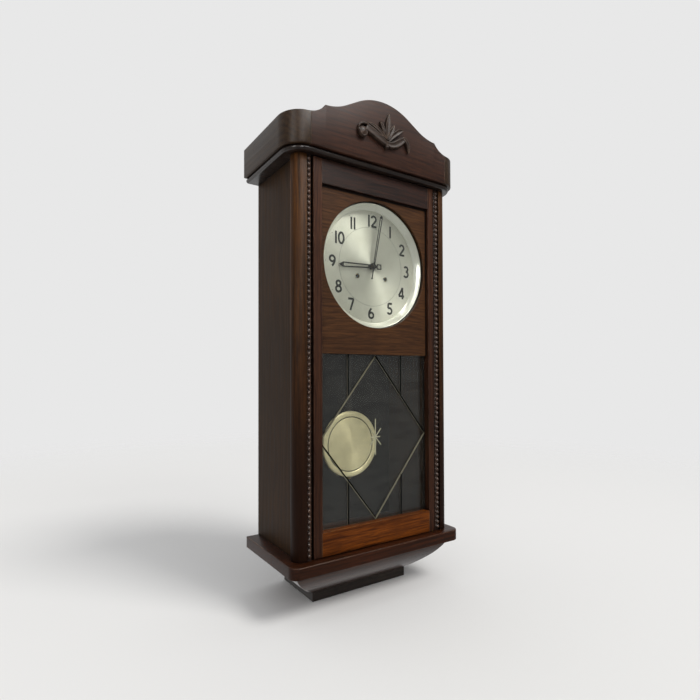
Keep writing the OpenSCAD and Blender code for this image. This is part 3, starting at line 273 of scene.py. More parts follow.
def glass(name, tint, film, film_share, streaks, star=None):
    """Drawn window glass, 1.52, clear, with a film of dust in level streaks. A pane with a
    star, given by its middle, has V cuts that the wheel left unpolished: the flanks that face
    down are painted near black as shade, the upper ones pale as lit, and the star pale as a glint.
    To the eye: a grey veil that mirrors the room and shows what is behind it."""
    made, tree, shader, out = finish(
        name, tint, Roughness=0.0, IOR=1.52, Transmission_Weight=1.0)
    place = node(tree, "TexCoord").outputs["Object"]
    # draw lines: level waves 11 mm high and 36 mm long
    long = node(tree, "Mapping", {"Vector": place, "Scale": (28.0, 28.0, 95.0)})
    wave = node(tree, "TexNoise", {"Vector": long, "Scale": 1.0, "Detail": 2.0,
                                   "Distortion": 0.3})
    dust = node(tree, "BsdfDiffuse", {"Color": linear(film)})
    share = node(tree, "MapRange", {"Value": wave, "From Min": 0.62, "From Max": 0.5,
                                    "To Min": film_share * (1 - streaks),
                                    "To Max": film_share * (1 + streaks)})
    filmed = node(tree, "MixShader", {"Fac": share, 1: shader, 2: dust})
    # shadows and plain light pass straight through
    ray = node(tree, "LightPath").outputs
    clear = node(tree, "BsdfTransparent", {"Color": linear(tint)})
    plain = node(tree, "Math", {0: ray["Is Shadow Ray"], 1: ray["Is Diffuse Ray"]},
                 operation="MAXIMUM")
    both = node(tree, "MixShader", {"Fac": plain, 1: filmed, 2: clear})
    if star:
        # the pane's own frame, so that the cuts stay where they are on the open door
        facing = node(tree, "VectorTransform",
                      {"Vector": node(tree, "NewGeometry").outputs["True Normal"]},
                      vector_type="NORMAL", convert_from="WORLD", convert_to="OBJECT")
        way = node(tree, "SeparateXYZ", {"Vector": facing})
        level = node(tree, "Math", {0: way.outputs["Y"]}, operation="ABSOLUTE")
        flank = node(tree, "Math", {0: level, 1: 0.9}, operation="LESS_THAN")
        # painted light and shade: cut flanks that face up are painted pale as lit, the others near
        # black as shade
        tilt = node(tree, "VectorMath", {0: facing, 1: (0.5, 0.0, 1.0)},
                    operation="DOT_PRODUCT")
        painted_lit_flank = node(tree, "MapRange", {"Value": tilt.outputs["Value"], "From Min": 0.02,
                                        "From Max": 0.07})
        # painted highlight: the shallow-cut star is painted pale as a glint, to about 30 mm out
        # from its middle
        arm = node(tree, "VectorMath", {0: place, 1: star}, operation="DISTANCE")
        painted_star_glint = node(tree, "MapRange", {"Value": arm.outputs["Value"], "From Min": 0.034,
                                         "From Max": 0.028})
        painted_cut_tone = layered(tree, "060605", [(painted_lit_flank, "6e6a59"), (painted_star_glint, "a9a78f")])
        painted_cut = node(tree, "BsdfPrincipled", {"Base Color": painted_cut_tone, "Roughness": 0.5,
                                               "Specular IOR Level": 0.1})
        both = node(tree, "MixShader", {"Fac": flank, 1: both, 2: painted_cut})
    feed(tree, out, {"Surface": both})
    return made


def paint(material, *nodes):
    """Puts the material on the CAD nodes' own slots."""
    for name in nodes:
        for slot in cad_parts[name].material_slots:
            slot.material = material


# Shapes


def tube(rings, closed_path=False):
    """A closed shell through a row of closed rings. Its two ends are capped, or meet."""
    rows, columns = rings.shape[:2]
    i = np.arange(rows if closed_path else rows - 1)[:, None]
    j = np.arange(columns)[None, :]
    i2, j2 = (i + 1) % rows, (j + 1) % columns
    corners = [i * columns + j, i2 * columns + j, i2 * columns + j2, i * columns + j2]
    faces = np.stack(np.broadcast_arrays(*corners), -1).reshape(-1, 4).tolist()
    if not closed_path:
        last = (rows - 1) * columns
        faces.append(list(range(columns)))
        faces.append(list(range(last + columns - 1, last - 1, -1)))
    return rings.reshape(-1, 3), faces


def volume(points, faces):
    """The shell's signed volume: a sixth of the triple products over its triangles."""
    fans = [(f[0], f[k], f[k + 1]) for f in faces if len(f) > 4 for k in range(1, len(f) - 1)]
    quads = np.array([f for f in faces if len(f) == 4], int).reshape(-1, 4)
    tris = np.array([f for f in faces if len(f) == 3] + fans, int).reshape(-1, 3)
    tris = np.concatenate([tris, quads[:, :3], quads[:, [0, 2, 3]]])
    a, b, c = (points[tris[:, k]] for k in range(3))
    return float(np.einsum("ij,ij->", a, np.cross(b, c)) / 6)


def piece(name, shells, material, body, stands_for=(), smooth=30):
    """One object from closed shells in millimetres from the middle of the dial. Edges
    sharper than smooth degrees stay sharp."""
    points, faces, start = [], [], 0
    for p, f in shells:
        if volume(p, f) < 0:
            f = [g[::-1] for g in f]
        faces += [[i + start for i in g] for g in f]
        points.append(p)
        start += len(p)
    mesh = bpy.data.meshes.new(name)
    mesh.from_pydata((np.concatenate(points) * MM + (0, 0, DIAL_Z)).tolist(), [], faces)
    mesh.validate()
    mesh.polygons.foreach_set("use_smooth", [True] * len(mesh.polygons))
    mesh.set_sharp_from_angle(angle=math.radians(smooth))
    made = bpy.data.objects.new(name, mesh)
    made.data.materials.append(material)
    bpy.context.scene.collection.objects.link(made)
    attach(made, body)
    if stands_for:
        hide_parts(*stands_for)
    return made


def arc(c, r, a, b, n):
    """Points on an arc round c from angle a to angle b in degrees."""
    t = np.radians(np.linspace(a, b, n))
    return np.stack([c[0] + r * np.cos(t), c[1] + r * np.sin(t)], -1)


def outward(line):
    """Mitred outward normals of a closed outline that runs counter-clockwise."""
    step = np.roll(line, -1, 0) - line
    step /= np.linalg.norm(step, axis=1)[:, None] + 1e-12
    side = np.stack([step[:, 1], -step[:, 0]], -1)
    both = side + np.roll(side, 1, 0)
    both /= np.linalg.norm(both, axis=1)[:, None] + 1e-12
    return both / np.maximum(np.einsum("ij,ij->i", both, side), 0.5)[:, None]


def board(line, low, high, rim_low, rim_high, held=None, steps=5):
    """An outline carried from low to high, drawn in along a quarter circle at each end.
    held marks the points that keep their place. Gives rings of (outline, height)."""
    a = np.radians(np.linspace(0, 90, steps))
    inset = np.concatenate([rim_low * (1 - np.sin(a)), rim_high * (1 - np.sin(a[::-1]))])
    height = np.concatenate([low + rim_low * (1 - np.cos(a)),
                             high - rim_high * (1 - np.cos(a[::-1]))])
    n = outward(line)
    if held is not None:
        n = np.where(held[:, None], 0, n)
    flat = line[None] - inset[:, None, None] * n[None]
    return np.concatenate([flat, np.broadcast_to(height[:, None, None],
                                                 (*flat.shape[:2], 1))], -1)


def turned(profile, centre, steps):
    """A closed (radius, y) profile turned about a Y axis through centre (x, z)."""
    t = np.linspace(0, 2 * np.pi, steps, endpoint=False)[:, None]
    r, y = profile[None, :, 0], profile[None, :, 1]
    rings = np.stack([centre[0] + r * np.cos(t), np.broadcast_to(y, (steps, len(profile))),
                      centre[1] + r * np.sin(t)], -1)
    return tube(rings, closed_path=True)


def knob(profile, centre, steps=32):
    """A solid turned about a Y axis through centre (x, z): circles of the profile's
    (radius, y), the first and the last one closed by a flat face."""
    t = np.linspace(0, 2 * np.pi, steps, endpoint=False)[None]
    r, y = np.array(profile, float).T[..., None]
    return tube(np.stack([centre[0] + r * np.cos(t), np.broadcast_to(y, (len(y), steps)),
                          centre[1] + r * np.sin(t)], -1))


def through(points, n):
    """A smooth line of n points through the given ones, in any number of columns: cubic
    pieces whose slope at a point is half the step between its neighbours."""
    p = np.array(points, float)
    slope = np.gradient(p, axis=0)
    t = np.linspace(0, len(p) - 1, n)
    i = np.minimum(t.astype(int), len(p) - 2)
    u = (t - i)[:, None]
    return ((2 * u**3 - 3 * u**2 + 1) * p[i] + (u**3 - 2 * u**2 + u) * slope[i]
            + (3 * u**2 - 2 * u**3) * p[i + 1] + (u**3 - u**2) * slope[i + 1])


def carved(points, dish, n=33):
    """A carved leaf through points of (x, z, half width, height). Across it, from s = -1 to
    1, its height is height * sqrt(1 - s^8) * (1 - dish * (1 - s^2)): steep sides and a
    hollow face."""
    x, z, half, rise = through(points, n).T
    run = np.stack([np.gradient(x), np.gradient(z)], -1)
    run /= np.linalg.norm(run, axis=1)[:, None]
    s = np.sin(np.radians(np.linspace(-90, 90, 17)))
    tall = np.sqrt(np.maximum(1 - s**8, 0)) * (1 - dish * (1 - s**2))
    s, tall = np.concatenate([[-1], s, [1]]), np.concatenate([[0], tall, [0]])
    y = HOOD_FACE - rise[:, None] * tall
    y[:, [0, -1]] = HOOD_FACE + 0.5
    wide = half[:, None] * s
    return tube(np.stack([x[:, None] - run[:, 1:] * wide, y, z[:, None] + run[:, :1] * wide], -1))


def bar_between(a, b):
    """A box between two corners, as a tube of two rings."""
    (x0, y0, z0), (x1, y1, z1) = a, b
    ring = np.array([[x0, y0], [x1, y0], [x1, y1], [x0, y1]])
    rings = np.stack([np.column_stack([ring, np.full(4, z)]) for z in (z0, z1)])
    return tube(rings)


def hood_top(x):
    """Height of the hood's top edge at distance x from the middle: a round crest of radius
    100, a straight rake, a hollow of 84 out to the shoulder and a hollow step of 38 down to
    the level side."""
    x = np.abs(x)
    rake, tip, drop = np.radians([29, 3, 54])
    end = np.array([100 * np.sin(rake), 146 + 100 * np.cos(rake)])
    low = end + 24.6 * np.array([np.cos(rake), -np.sin(rake)])
    hollow = low + 84 * np.array([np.sin(rake), np.cos(rake)])
    lip = hollow - 84 * np.array([np.sin(tip), np.cos(tip)])
    step = lip + 38 * np.array([np.sin(drop), np.cos(drop)])
    return np.select(
        [x < end[0], x < low[0], x < lip[0], x < step[0]],
        [146 + np.sqrt(np.maximum(100**2 - x**2, 0)), end[1] - (x - end[0]) * np.tan(rake),
         hollow[1] - np.sqrt(np.maximum(84**2 - (x - hollow[0]) ** 2, 0)),
         step[1] - np.sqrt(np.maximum(38**2 - (x - step[0]) ** 2, 0))], 195.5)


def hood_wall(path, normal, rim):
    """A board of the hood carried along path. Its section runs up the outer face, round a rim
    of radius rim, over the top at hood_top(x) and down the inner face."""
    bend = np.radians(np.linspace(0, 90, 5))
    top = hood_top(path[:, 0])[:, None]
    depth = np.concatenate([[1.0, 0.3, 0], rim * (1 - np.cos(bend)),
                            [HOOD_THICK, HOOD_THICK]])
    drop = np.concatenate([[0, 0.3, 1.0], rim * (1 - np.sin(bend)), [0, 0]])
    low = np.array([1, 1, 1] + [0] * len(bend) + [0, 1], bool)
    z = np.where(low, HOOD_FOOT + drop, top - drop)
    return np.concatenate([path[:, None] - normal[:, None] * depth[None, :, None],
                           z[..., None]], -1)


STROKES = {
    # each digit in a box 0.62 wide and 1 high, as lines and elliptical arcs
    "0": [("arc", 0.31, 0.5, 0.24, 0.43, 90, 450)],
    "1": [("line", 0.31, 1.0, 0.31, 0.0)],
    "2": [("arc", 0.30, 0.70, 0.235, 0.235, 168, -38), ("line", 0.485, 0.555, 0.07, 0.055),
          ("line", 0.05, 0.065, 0.6, 0.065)],
    "3": [("arc", 0.29, 0.735, 0.205, 0.20, 150, -90), ("arc", 0.28, 0.29, 0.25, 0.235, 90, -150)],
    "4": [("line", 0.455, 0.99, 0.035, 0.27), ("line", 0.02, 0.255, 0.64, 0.255),
          ("line", 0.45, 1.0, 0.45, 0.0)],
    "5": [("line", 0.56, 0.935, 0.16, 0.935), ("line", 0.165, 0.95, 0.115, 0.53),
          ("arc", 0.28, 0.31, 0.245, 0.245, 130, -150)],
    "6": [("arc", 0.31, 0.295, 0.235, 0.23, 0, 360), ("arc", 0.73, 0.33, 0.655, 0.66, 126, 183)],
    "7": [("line", 0.03, 0.935, 0.57, 0.935), ("line", 0.56, 0.93, 0.24, 0.0)],
    "8": [("arc", 0.31, 0.745, 0.195, 0.19, 90, 450), ("arc", 0.31, 0.29, 0.24, 0.225, 90, 450)],
    "9": [("arc", 0.31, 0.705, 0.235, 0.23, 0, 360), ("arc", -0.11, 0.67, 0.655, 0.66, -54, 3)],
}


def stroke(kind, *v, height, x, z, width, y, thick):
    """One stroke of a digit as a thin flat ribbon: the line or arc offset to both sides."""
    if kind == "line":
        t = np.linspace(0, 1, 2)[:, None]
        path = np.array(v[:2]) * (1 - t) + np.array(v[2:]) * t
        tangent = np.broadcast_to(np.array(v[2:]) - np.array(v[:2]), path.shape)
        closed = False
    else:
        cx, cz, rx, rz, a, b = v
        t = np.radians(np.linspace(a, b, 41))
        path = np.stack([cx + rx * np.cos(t), cz + rz * np.sin(t)], -1)
        tangent = np.stack([-rx * np.sin(t), rz * np.cos(t)], -1)
        closed = abs(b - a) >= 360
    side = np.stack([-tangent[:, 1], tangent[:, 0]], -1)
    side = side / np.linalg.norm(side, axis=1)[:, None] * width / 2
    path = path * height + (x, z)
    left, right = path + side, path - side
    if closed:
        left, right = left[:-1], right[:-1]
    rings = np.stack([np.insert(left, 1, y, 1), np.insert(right, 1, y, 1),
                      np.insert(right, 1, y + thick, 1), np.insert(left, 1, y + thick, 1)], 1)
    return tube(rings, closed_path=closed)


# What a user would change


def length(name, description, default):
    """A length that the sidebar shows, given in millimetres."""
    return bpy.props.FloatProperty(name=name, description=description, default=default * MM,
                                   unit="LENGTH")


class RegulatorSizes(bpy.types.PropertyGroup):
    """Sizes of what the dressing adds to the CAD."""

    numeral_height: length("Numeral height", "Height of the black numerals", 19)
    numeral_reach: length("Numeral reach", "From the middle of the dial to a numeral", 72.8)
    numeral_stroke: length("Numeral stroke", "Width of a numeral's strokes", 3.4)
    circle_reach: length("Circle radius", "Radius of the circle inside the numerals", 62)
    dot_reach: length("Dot reach", "From the middle of the dial to the hour dots", 86)
    bead_radius: length("Bead radius", "Radius of a turned bead", 3.3)
    bead_pitch: length("Bead pitch", "Distance between two beads", 7.9)
    arris: length("Arris", "Radius of the boards' softened edges", 1.2)


class RegulatorColours(bpy.types.PropertyGroup):
    """Colours of the stage, shown as they look."""

    backdrop: bpy.props.FloatVectorProperty(
        name="Backdrop", description="Colour behind the clock", subtype="COLOR", size=3,
        min=0, max=1, default=linear("e8e8e8")[:3])
    floor: bpy.props.FloatVectorProperty(
        name="Floor", description="Colour of the pale floor", subtype="COLOR", size=3,
        min=0, max=1, default=linear("e8e8e8")[:3])


# Operators


class REGULATOR_OT_case(bpy.types.Operator):
    """Corner posts, side boards, back board and the two columns of turned beads"""

    bl_idname = "regulator.case"
    bl_label = "Case"

    def execute(self, context):
        sizes = context.scene.regulator_sizes
        post = oak("oak_post_stained", "291705", "462a0e", "613913", "Z", 7, grain=0.8,
                   rubbed_and_lit_colour="8a6a4c", rubbed_and_lit_share=0.5, gloss=0.14, foot=0.9)
        side = oak("oak_side_stained", "261605", "352009", "42290d", "Z", 9, grain=0.6,
                   rubbed_and_lit_colour="66513f", rubbed_and_lit_share=0.4, roughness=0.5, gloss=0.12)
        inner = oak("oak_inside_raw_stained", "0f0a07", "17100c", "221812", "Z", 10, grain=0.8,
                    rubbed_and_lit_colour="3a2c22", rubbed_and_lit_share=0.2, roughness=0.7, grime_and_shade=0.0)
        # the beads get strong painted shade in the gaps between them, with grime
        beads = oak("oak_bead_turned", "2b1f18", "4f372c", "71503b", "Z", 6, grain=0.6,
                    rubbed_and_lit_colour="8a7a6c", rubbed_and_lit_share=0.3, roughness=0.34, coat=0.3, grime_and_shade=0.95)
        paint(side, "case_sides")
        paint(inner, "back_board")
        for s, side_name in ((-1, "left"), (1, "right")):
            # seen from above: square at the back, round outside, rebated for the beads
            plan = np.concatenate([
                [[119.25, -134.2], [129.0, -134.2], [129.0, -141.0]],
                arc((133.5, -127.0), 14, -90, 0, 17), [[147.5, -125.0], [119.25, -125.0]]])
            rings = board(plan, BASE_TOP, CASE_TOP, 0.3, 0.3, steps=3)
            rings[..., 0] *= s
            piece(f"post_{side_name}", [tube(rings)], post, "case",
                  [f"corner_post_{side_name}"], smooth=25)
        r, pitch = sizes.bead_radius / MM, sizes.bead_pitch / MM
        count = 72
        first = (BASE_TOP + CASE_TOP - (count - 1) * pitch) / 2
        a = np.radians(np.linspace(-78, 78, 9))
        z = (first + np.arange(count)[:, None] * pitch + r * np.sin(a)[None]).ravel()
        reach = np.tile(r * np.cos(a), count)[:, None]
        t = np.linspace(0, 2 * np.pi, 14, endpoint=False)
        shells = []
        for s in (-1, 1):
            x = s * BEAD_X + reach * np.cos(t)
            y = -137.7 + reach * np.sin(t)
            shells.append(tube(np.stack([x, y, np.broadcast_to(z[:, None], x.shape)], -1)))
            shells.append(bar_between((s * BEAD_X - 4, -137.6, BASE_TOP),
                                      (s * BEAD_X + 4, -134.25, CASE_TOP)))
        piece("bead_columns", shells, beads, "case", ["bead_strips"], smooth=60)
        return {"FINISHED"}


class REGULATOR_OT_hood(bpy.types.Operator):
    """Hood boards with their round corners, the half-round nosing and the carved ornament"""

    bl_idname = "regulator.hood"
    bl_label = "Hood"

    def execute(self, context):
        rim = context.scene.regulator_sizes.arris / MM
        front = oak("oak_hood_front", "261107", "3a1e0f", "462411", "X", 8, arch=0.35,
                    grain=0.8, rubbed_and_lit_colour="80634e", rubbed_and_lit_share=0.5, roughness=0.45)
        side = oak("oak_hood_side", "24160a", "362613", "442f1b", "Y", 9, grain=0.9,
                   rubbed_and_lit_colour="756352", rubbed_and_lit_share=0.5, roughness=0.34)
        nose = oak("oak_nosing", "160f0c", "281d16", "36271f", "X", 6, grain=0.5,
                   rubbed_and_lit_colour="6d5c50", rubbed_and_lit_share=0.4, roughness=0.3, coat=0.5)
        carve = oak("oak_carved", "241912", "3b2a20", "4b372b", "X", 5, grain=0.6,
                    rubbed_and_lit_colour="8c725c", rubbed_and_lit_share=0.9)
        # the hood's wall runs straight in front, round each corner and back to the wall
        x = np.unique(np.concatenate([np.linspace(-130, 130, 131), [-106.3, 106.3]]))
        path = np.stack([x, np.full(len(x), HOOD_FACE)], -1)
        ahead = np.broadcast_to([0.0, -1.0], path.shape)
        piece("hood_front", [tube(hood_wall(path, ahead, rim))], front, "case",
              ["hood_front_board"])
        turn = np.radians(np.linspace(-90, 0, 25))
        out = np.stack([np.cos(turn), np.sin(turn)], -1)
        path = np.concatenate([out * 35 + (130, -120), [[165, -60], [165, 0]]])
        rings = hood_wall(path, np.concatenate([out, [[1, 0], [1, 0]]]), rim)
        piece("hood_returns", [tube(rings), tube(rings * (-1, 1, 1))], side, "case",
              ["hood_sides"])
        # top board: its front and side edges are half rounds, the back is notched
        plan = np.concatenate([
            [[-127.5, 0], [-127.5, -10], [127.5, -10], [127.5, 0], [161, 0]],
            arc((130, -120), 31, 0, -90, 17), arc((-130, -120), 31, -90, -180, 17),
            [[-161, 0]]])[::-1]
        held = (plan[:, 1] > -11) & (np.abs(plan[:, 0]) < 140)
        rings = board(plan, CASE_TOP, HOOD_FOOT, 3.75, 3.75, held, steps=9)
        rings[..., 1] = np.where(plan[:, 1] > -1e-6, 0, rings[..., 1])
        piece("top_board", [tube(rings)], nose, "case", ["case_top_board"], smooth=40)
        # the carving: a knob in a curl, two arms with a groove between the left one and its
        # upper leaf, a fan of four leaves, and a leaf that hangs at the right
        leaves = [
            ([(-37, 198, 5.2, 5.4), (-32, 195.7, 6.2, 6.0), (-17.6, 189.6, 6.3, 6.4),
              (-5, 183.8, 5.2, 6.4), (2.5, 180.6, 3.6, 5.8)], 0.2),
            ([(-36, 204.6, 0.7, 4.6), (-27, 203.2, 2.1, 6.0), (-16, 199.3, 3.3, 6.8),
              (-7, 193.6, 2.9, 6.8), (3, 187.4, 1.3, 6.2)], 0.3),
            ([(-51.5, 190, 1.0, 4.4), (-50.6, 195.5, 1.6, 5.0), (-47, 199.6, 1.7, 5.4),
              (-40, 201.6, 1.6, 5.4), (-34, 201.2, 1.2, 5.0)], 0.0),
            ([(3, 187, 2.0, 5.2), (-3, 198, 3.6, 6.6), (-7, 207, 3.0, 6.2),
              (-10.2, 213, 0.6, 4.6)], 0.45),
            ([(4, 187, 2.0, 5.4), (3.4, 202, 4.4, 6.8), (5.2, 216, 4.2, 6.6),
              (6.8, 229, 0.6, 4.6)], 0.45),
            ([(5, 187, 2.0, 5.2), (9, 198, 4.0, 6.2), (14, 207, 3.6, 5.8),
              (17.5, 214.5, 0.6, 4.4)], 0.45),
            ([(6, 187, 2.0, 5.0), (15, 196.5, 3.6, 5.6), (26, 206, 4.4, 5.6),
              (36.5, 211.5, 0.8, 4.4)], 0.45),
            ([(2, 182.5, 3.8, 5.6), (10, 181.4, 5.0, 6.2), (20, 184.8, 5.8, 6.4),
              (30, 191.5, 5.8, 6.2), (37.5, 197.6, 3.6, 5.4)], 0.3),
            ([(33, 198.5, 1.6, 5.2), (39, 196.6, 3.6, 6.2), (44.4, 190.4, 3.4, 6.0),
              (46.2, 183, 2.2, 5.2), (46.8, 178, 0.7, 4.2)], 0.3),
        ]
        shells = [carved(points, dish) for points, dish in leaves]
        shells.append(knob([(7.7, -154.5), (8.1, -158.2), (7.5, -160.6), (6.2, -161.6),
                            (5.2, -161.2), (4.4, -161.6), (2.4, -162.6), (0.6, -162.8)],
                           (-43.6, 188)))
        shells.append(knob([(2.4, -154.5), (2.6, -160.0), (1.9, -161.6), (0.5, -162.2)],
                           (1.2, 175.4), 20))
        piece("hood_carving", shells, carve, "case", ["hood_ornament"], smooth=50)
        return {"FINISHED"}


class REGULATOR_OT_base(bpy.types.Operator):
    """Base board, the console's quarter rounds under it and the foot block"""

    bl_idname = "regulator.base"
    bl_label = "Base"

    def execute(self, context):
        rim = context.scene.regulator_sizes.arris / MM
        # the base board's near-white arris colour is a painted highlight along its top edge,
        # besides wear
        base = oak("oak_base_board", "200b01", "341604", "472008", "X", 7, grain=0.8,
                   rubbed_and_lit_colour="d0ad8c", rubbed_and_lit_share=1.0, roughness=0.36, coat=0.1, gloss=0.2)
        console = oak("oak_console", "2e1b13", "462d21", "583b2a", "X", 8, grain=0.6,
                      rubbed_and_lit_colour="8f8378", rubbed_and_lit_share=0.5, roughness=0.3, coat=0.2)
        foot = oak("oak_foot", "1c1511", "2c241d", "3a2e26", "X", 8, grain=0.5,
                   rubbed_and_lit_colour="4c4038", rubbed_and_lit_share=0.5, roughness=0.5)
        plan = np.concatenate([
            [[160, 0]], arc((146, -141), 14, 0, -90, 13), arc((-146, -141), 14, -90, -180, 13),
            [[-160, 0]]])[::-1]
        held = plan[:, 1] > -1e-6
        rings = board(plan, BASE_LOW, BASE_TOP, rim, rim, held)
        piece("base", [tube(rings)], base, "case", ["base_board"])
        # the console: a slope 53 high that swells out by 15 percent, mitred at the corners
        foot_x, foot_y = 91.7, 92.6
        run_x, run_y = 147.5 - foot_x, 141 - foot_y
        mitre = run_x / run_y
        t = np.linspace(0, 1, 25)
        out = np.concatenate([run_y * (1 - t + 0.6 * t * (1 - t)), [-18, run_y * 0.49]])
        z = BASE_LOW - 53 * np.concatenate([t, [1, 0]])
        half = foot_x + mitre * out
        rings = np.stack([np.array([[-1], [0], [1]]) * half,
                          np.broadcast_to(-foot_y - out, (3, len(out))),
                          np.broadcast_to(z, (3, len(out)))], -1)
        piece("console_face", [tube(rings)], console, "case", ["console_front"])
        shells = []
        y = np.array([[1], [0.5], [0]]) * (-foot_y - out)
        for s in (-1, 1):
            rings = np.stack([np.broadcast_to(s * half, y.shape), y,
                              np.broadcast_to(z, y.shape)], -1)
            shells.append(tube(rings))
        piece("console_returns", shells, console, "case", ["console_sides"])
        paint(foot, "console_foot")
        return {"FINISHED"}


class REGULATOR_OT_door(bpy.types.Operator):
    """Door frame, dial panel, the two panes and the door's fittings"""

    bl_idname = "regulator.door"
    bl_label = "Door"

    def execute(self, context):
        stile = oak("oak_stile", "2d160b", "452716", "5c361e", "Z", 6, grain=0.8,
                    rubbed_and_lit_colour="7f5f49", rubbed_and_lit_share=0.6, gloss=0.2, foot=0.5)
        top = oak("oak_top_rail_flame", "0e0401", "230e05", "36180a", "X", 4.5, arch=0.9,
                  shift=(-0.03, 0, 0.02), grain=1.3, rubbed_and_lit_colour="6f5442", rubbed_and_lit_share=0.5, blotch=0.3)
        low = oak("oak_bottom_rail", "391803", "582a06", "87460c", "X", 5, grain=0.9,
                  rubbed_and_lit_colour="a8703a", rubbed_and_lit_share=0.6, roughness=0.38, blotch=0.6, gloss=0.12)
        # the dial panel gets a painted shadow along its right and upper edge
        panel = oak("oak_dial_panel", "331d0d", "472b15", "5b3919", "X", 6, arch=0.3,
                    shift=(0.02, 0, 0.1), grain=0.9, rubbed_and_lit_colour="6e4e38", rubbed_and_lit_share=0.4, gloss=0.2,
                    painted_shadow_edges=(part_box("door_stile_right")[0].x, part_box("door_top_rail")[0].z))
        inner = oak("oak_glazing_strip", "1b130e", "291d15", "382a1f", "Z", 6, grain=0.6,
                    rubbed_and_lit_colour="3f3025", rubbed_and_lit_share=0.3, roughness=0.6)
        brass = plain_metal("brass_drawn_lacquered", "a68c4e", "8a7340", 0.3)
        steel = plain_metal("steel_ball_polished", "c4c4c0", "a9a9a6", 0.18, bump=0.02)
        star = sum(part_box("door_glass"), Vector()) / 2
        paint(stile, "door_stile_left", "door_stile_right")
        paint(top, "door_top_rail")
        paint(low, "door_bottom_rail")
        paint(panel, "door_dial_panel")
        paint(inner, "door_glazing_strips")
        paint(brass, "door_hinge_pins", "door_catch_shell")
        paint(steel, "door_catch_ball")
        paint(glass("glass_cut", "f3f6f4", "8a8a84", 0.026, 0.35, star), "door_glass")
        paint(glass("glass_dial", "f4f6f4", "8f928d", 0.012, 0.2), "door_dial_glass")
        return {"FINISHED"}


class REGULATOR_OT_dial(bpy.types.Operator):
    """Silvered dial with its numerals, circle and dots, the ring, the hands and their nut"""

    bl_idname = "regulator.dial"
    bl_label = "Dial and hands"

    def execute(self, context):
        sizes = context.scene.regulator_sizes
        middle = (0, 0, DIAL_Z)
        silver = spun_metal("brass_sheet_silvered", "d6d4c6", "c0bdac", 0.45, middle,
                            aniso=0.85, tarnish=0.4, metallic=0.55)
        nickel = spun_metal("brass_ring_nickelled", "fffdf2", "e6e3d2", 0.2, middle,
                            lines=0.5, aniso=0.3, tarnish=0.4, metallic=0.55)
        black = plain_metal("steel_blacked", "1a1917", "262421", 0.42, 5, metallic=0.3)
        ink = plain_metal("enamel_black_printed", "141412", "20201d", 0.5, 4, metallic=0.0)
        nut = plain_metal("steel_turned_nut", "4a4740", "36332e", 0.3)
        paint(silver, "dial_plate")
        paint(black, "hour_hand", "minute_hand")
        paint(nut, "hand_nut")
        # the ring: from the dial out along a slope to a rounded lip, and back inside
        lip = arc((97.1, -129.7), 0.9, 200, 360, 13)
        slope_t = np.linspace(0, 1, 9)[:, None]
        slope = np.array([89.0, -122.1]) * (1 - slope_t) + lip[0] * slope_t
        slope[:, 1] += 0.5 * np.sin(np.pi * slope_t[:, 0])
        section = np.concatenate([[[89.0, DIAL_FACE]], slope[:-1], lip,
                                  [[98.0, DIAL_FACE], [97.0, DIAL_FACE], [96.6, -128.0],
                                   [90.4, -121.7], [90.4, DIAL_FACE]]])
        piece("dial_bezel", [turned(section, (0, 0), 160)], nickel, "case", ["dial_ring"],
              smooth=40)
        shells = []
        h, reach = sizes.numeral_height / MM, sizes.numeral_reach / MM
        w = sizes.numeral_stroke / MM
        # how far a numeral stands off its even place, to the right and up
        nudge = {1: (2.3, -2.2), 2: (0.5, -1.4), 4: (-1.0, 0), 5: (0.8, -0.6), 6: (-0.8, 0),
                 7: (-3.4, 1.2), 9: (-1.4, 0.3), 10: (2.2, 1.2), 11: (0.6, 0.6), 12: (2.0, 0)}
        for hour in range(1, 13):
            a = math.radians(30 * hour)
            off_x, off_z = nudge.get(hour, (0, 0))
            cx = reach * math.sin(a) + off_x
            cz = reach * math.cos(a) + off_z
            widths = [0.32 if d == "1" else 0.7 for d in str(hour)]
            left = -sum(widths) / 2
            for d, wide in zip(str(hour), widths):
                x = cx + (left + wide / 2 - 0.31) * h
                for kind, *v in STROKES[d]:
                    shells.append(stroke(kind, *v, height=h, x=x, z=cz - h / 2, width=w,
                                         y=DIAL_FACE - 0.12, thick=0.1))
                left += wide
        piece("numerals", shells, ink, "case")
        ring = sizes.circle_reach / MM
        line = np.array([[ring - 0.2, DIAL_FACE - 0.08], [ring + 0.2, DIAL_FACE - 0.08],
                         [ring + 0.2, DIAL_FACE], [ring - 0.2, DIAL_FACE]])
        shells = [turned(line, (0, 0), 128)]
        dot = [(0.7, DIAL_FACE), (0.7, DIAL_FACE - 0.1)]
        far = sizes.dot_reach / MM
        for hour in range(12):
            a = math.radians(30 * hour)
            shells.append(knob(dot, (far * math.sin(a), far * math.cos(a)), 12))
        grey = plain_metal("enamel_grey_printed", "5c5c52", "6b6b60", 0.5, 4, metallic=0.0)
        piece("dial_track", shells, grey, "case")
        return {"FINISHED"}


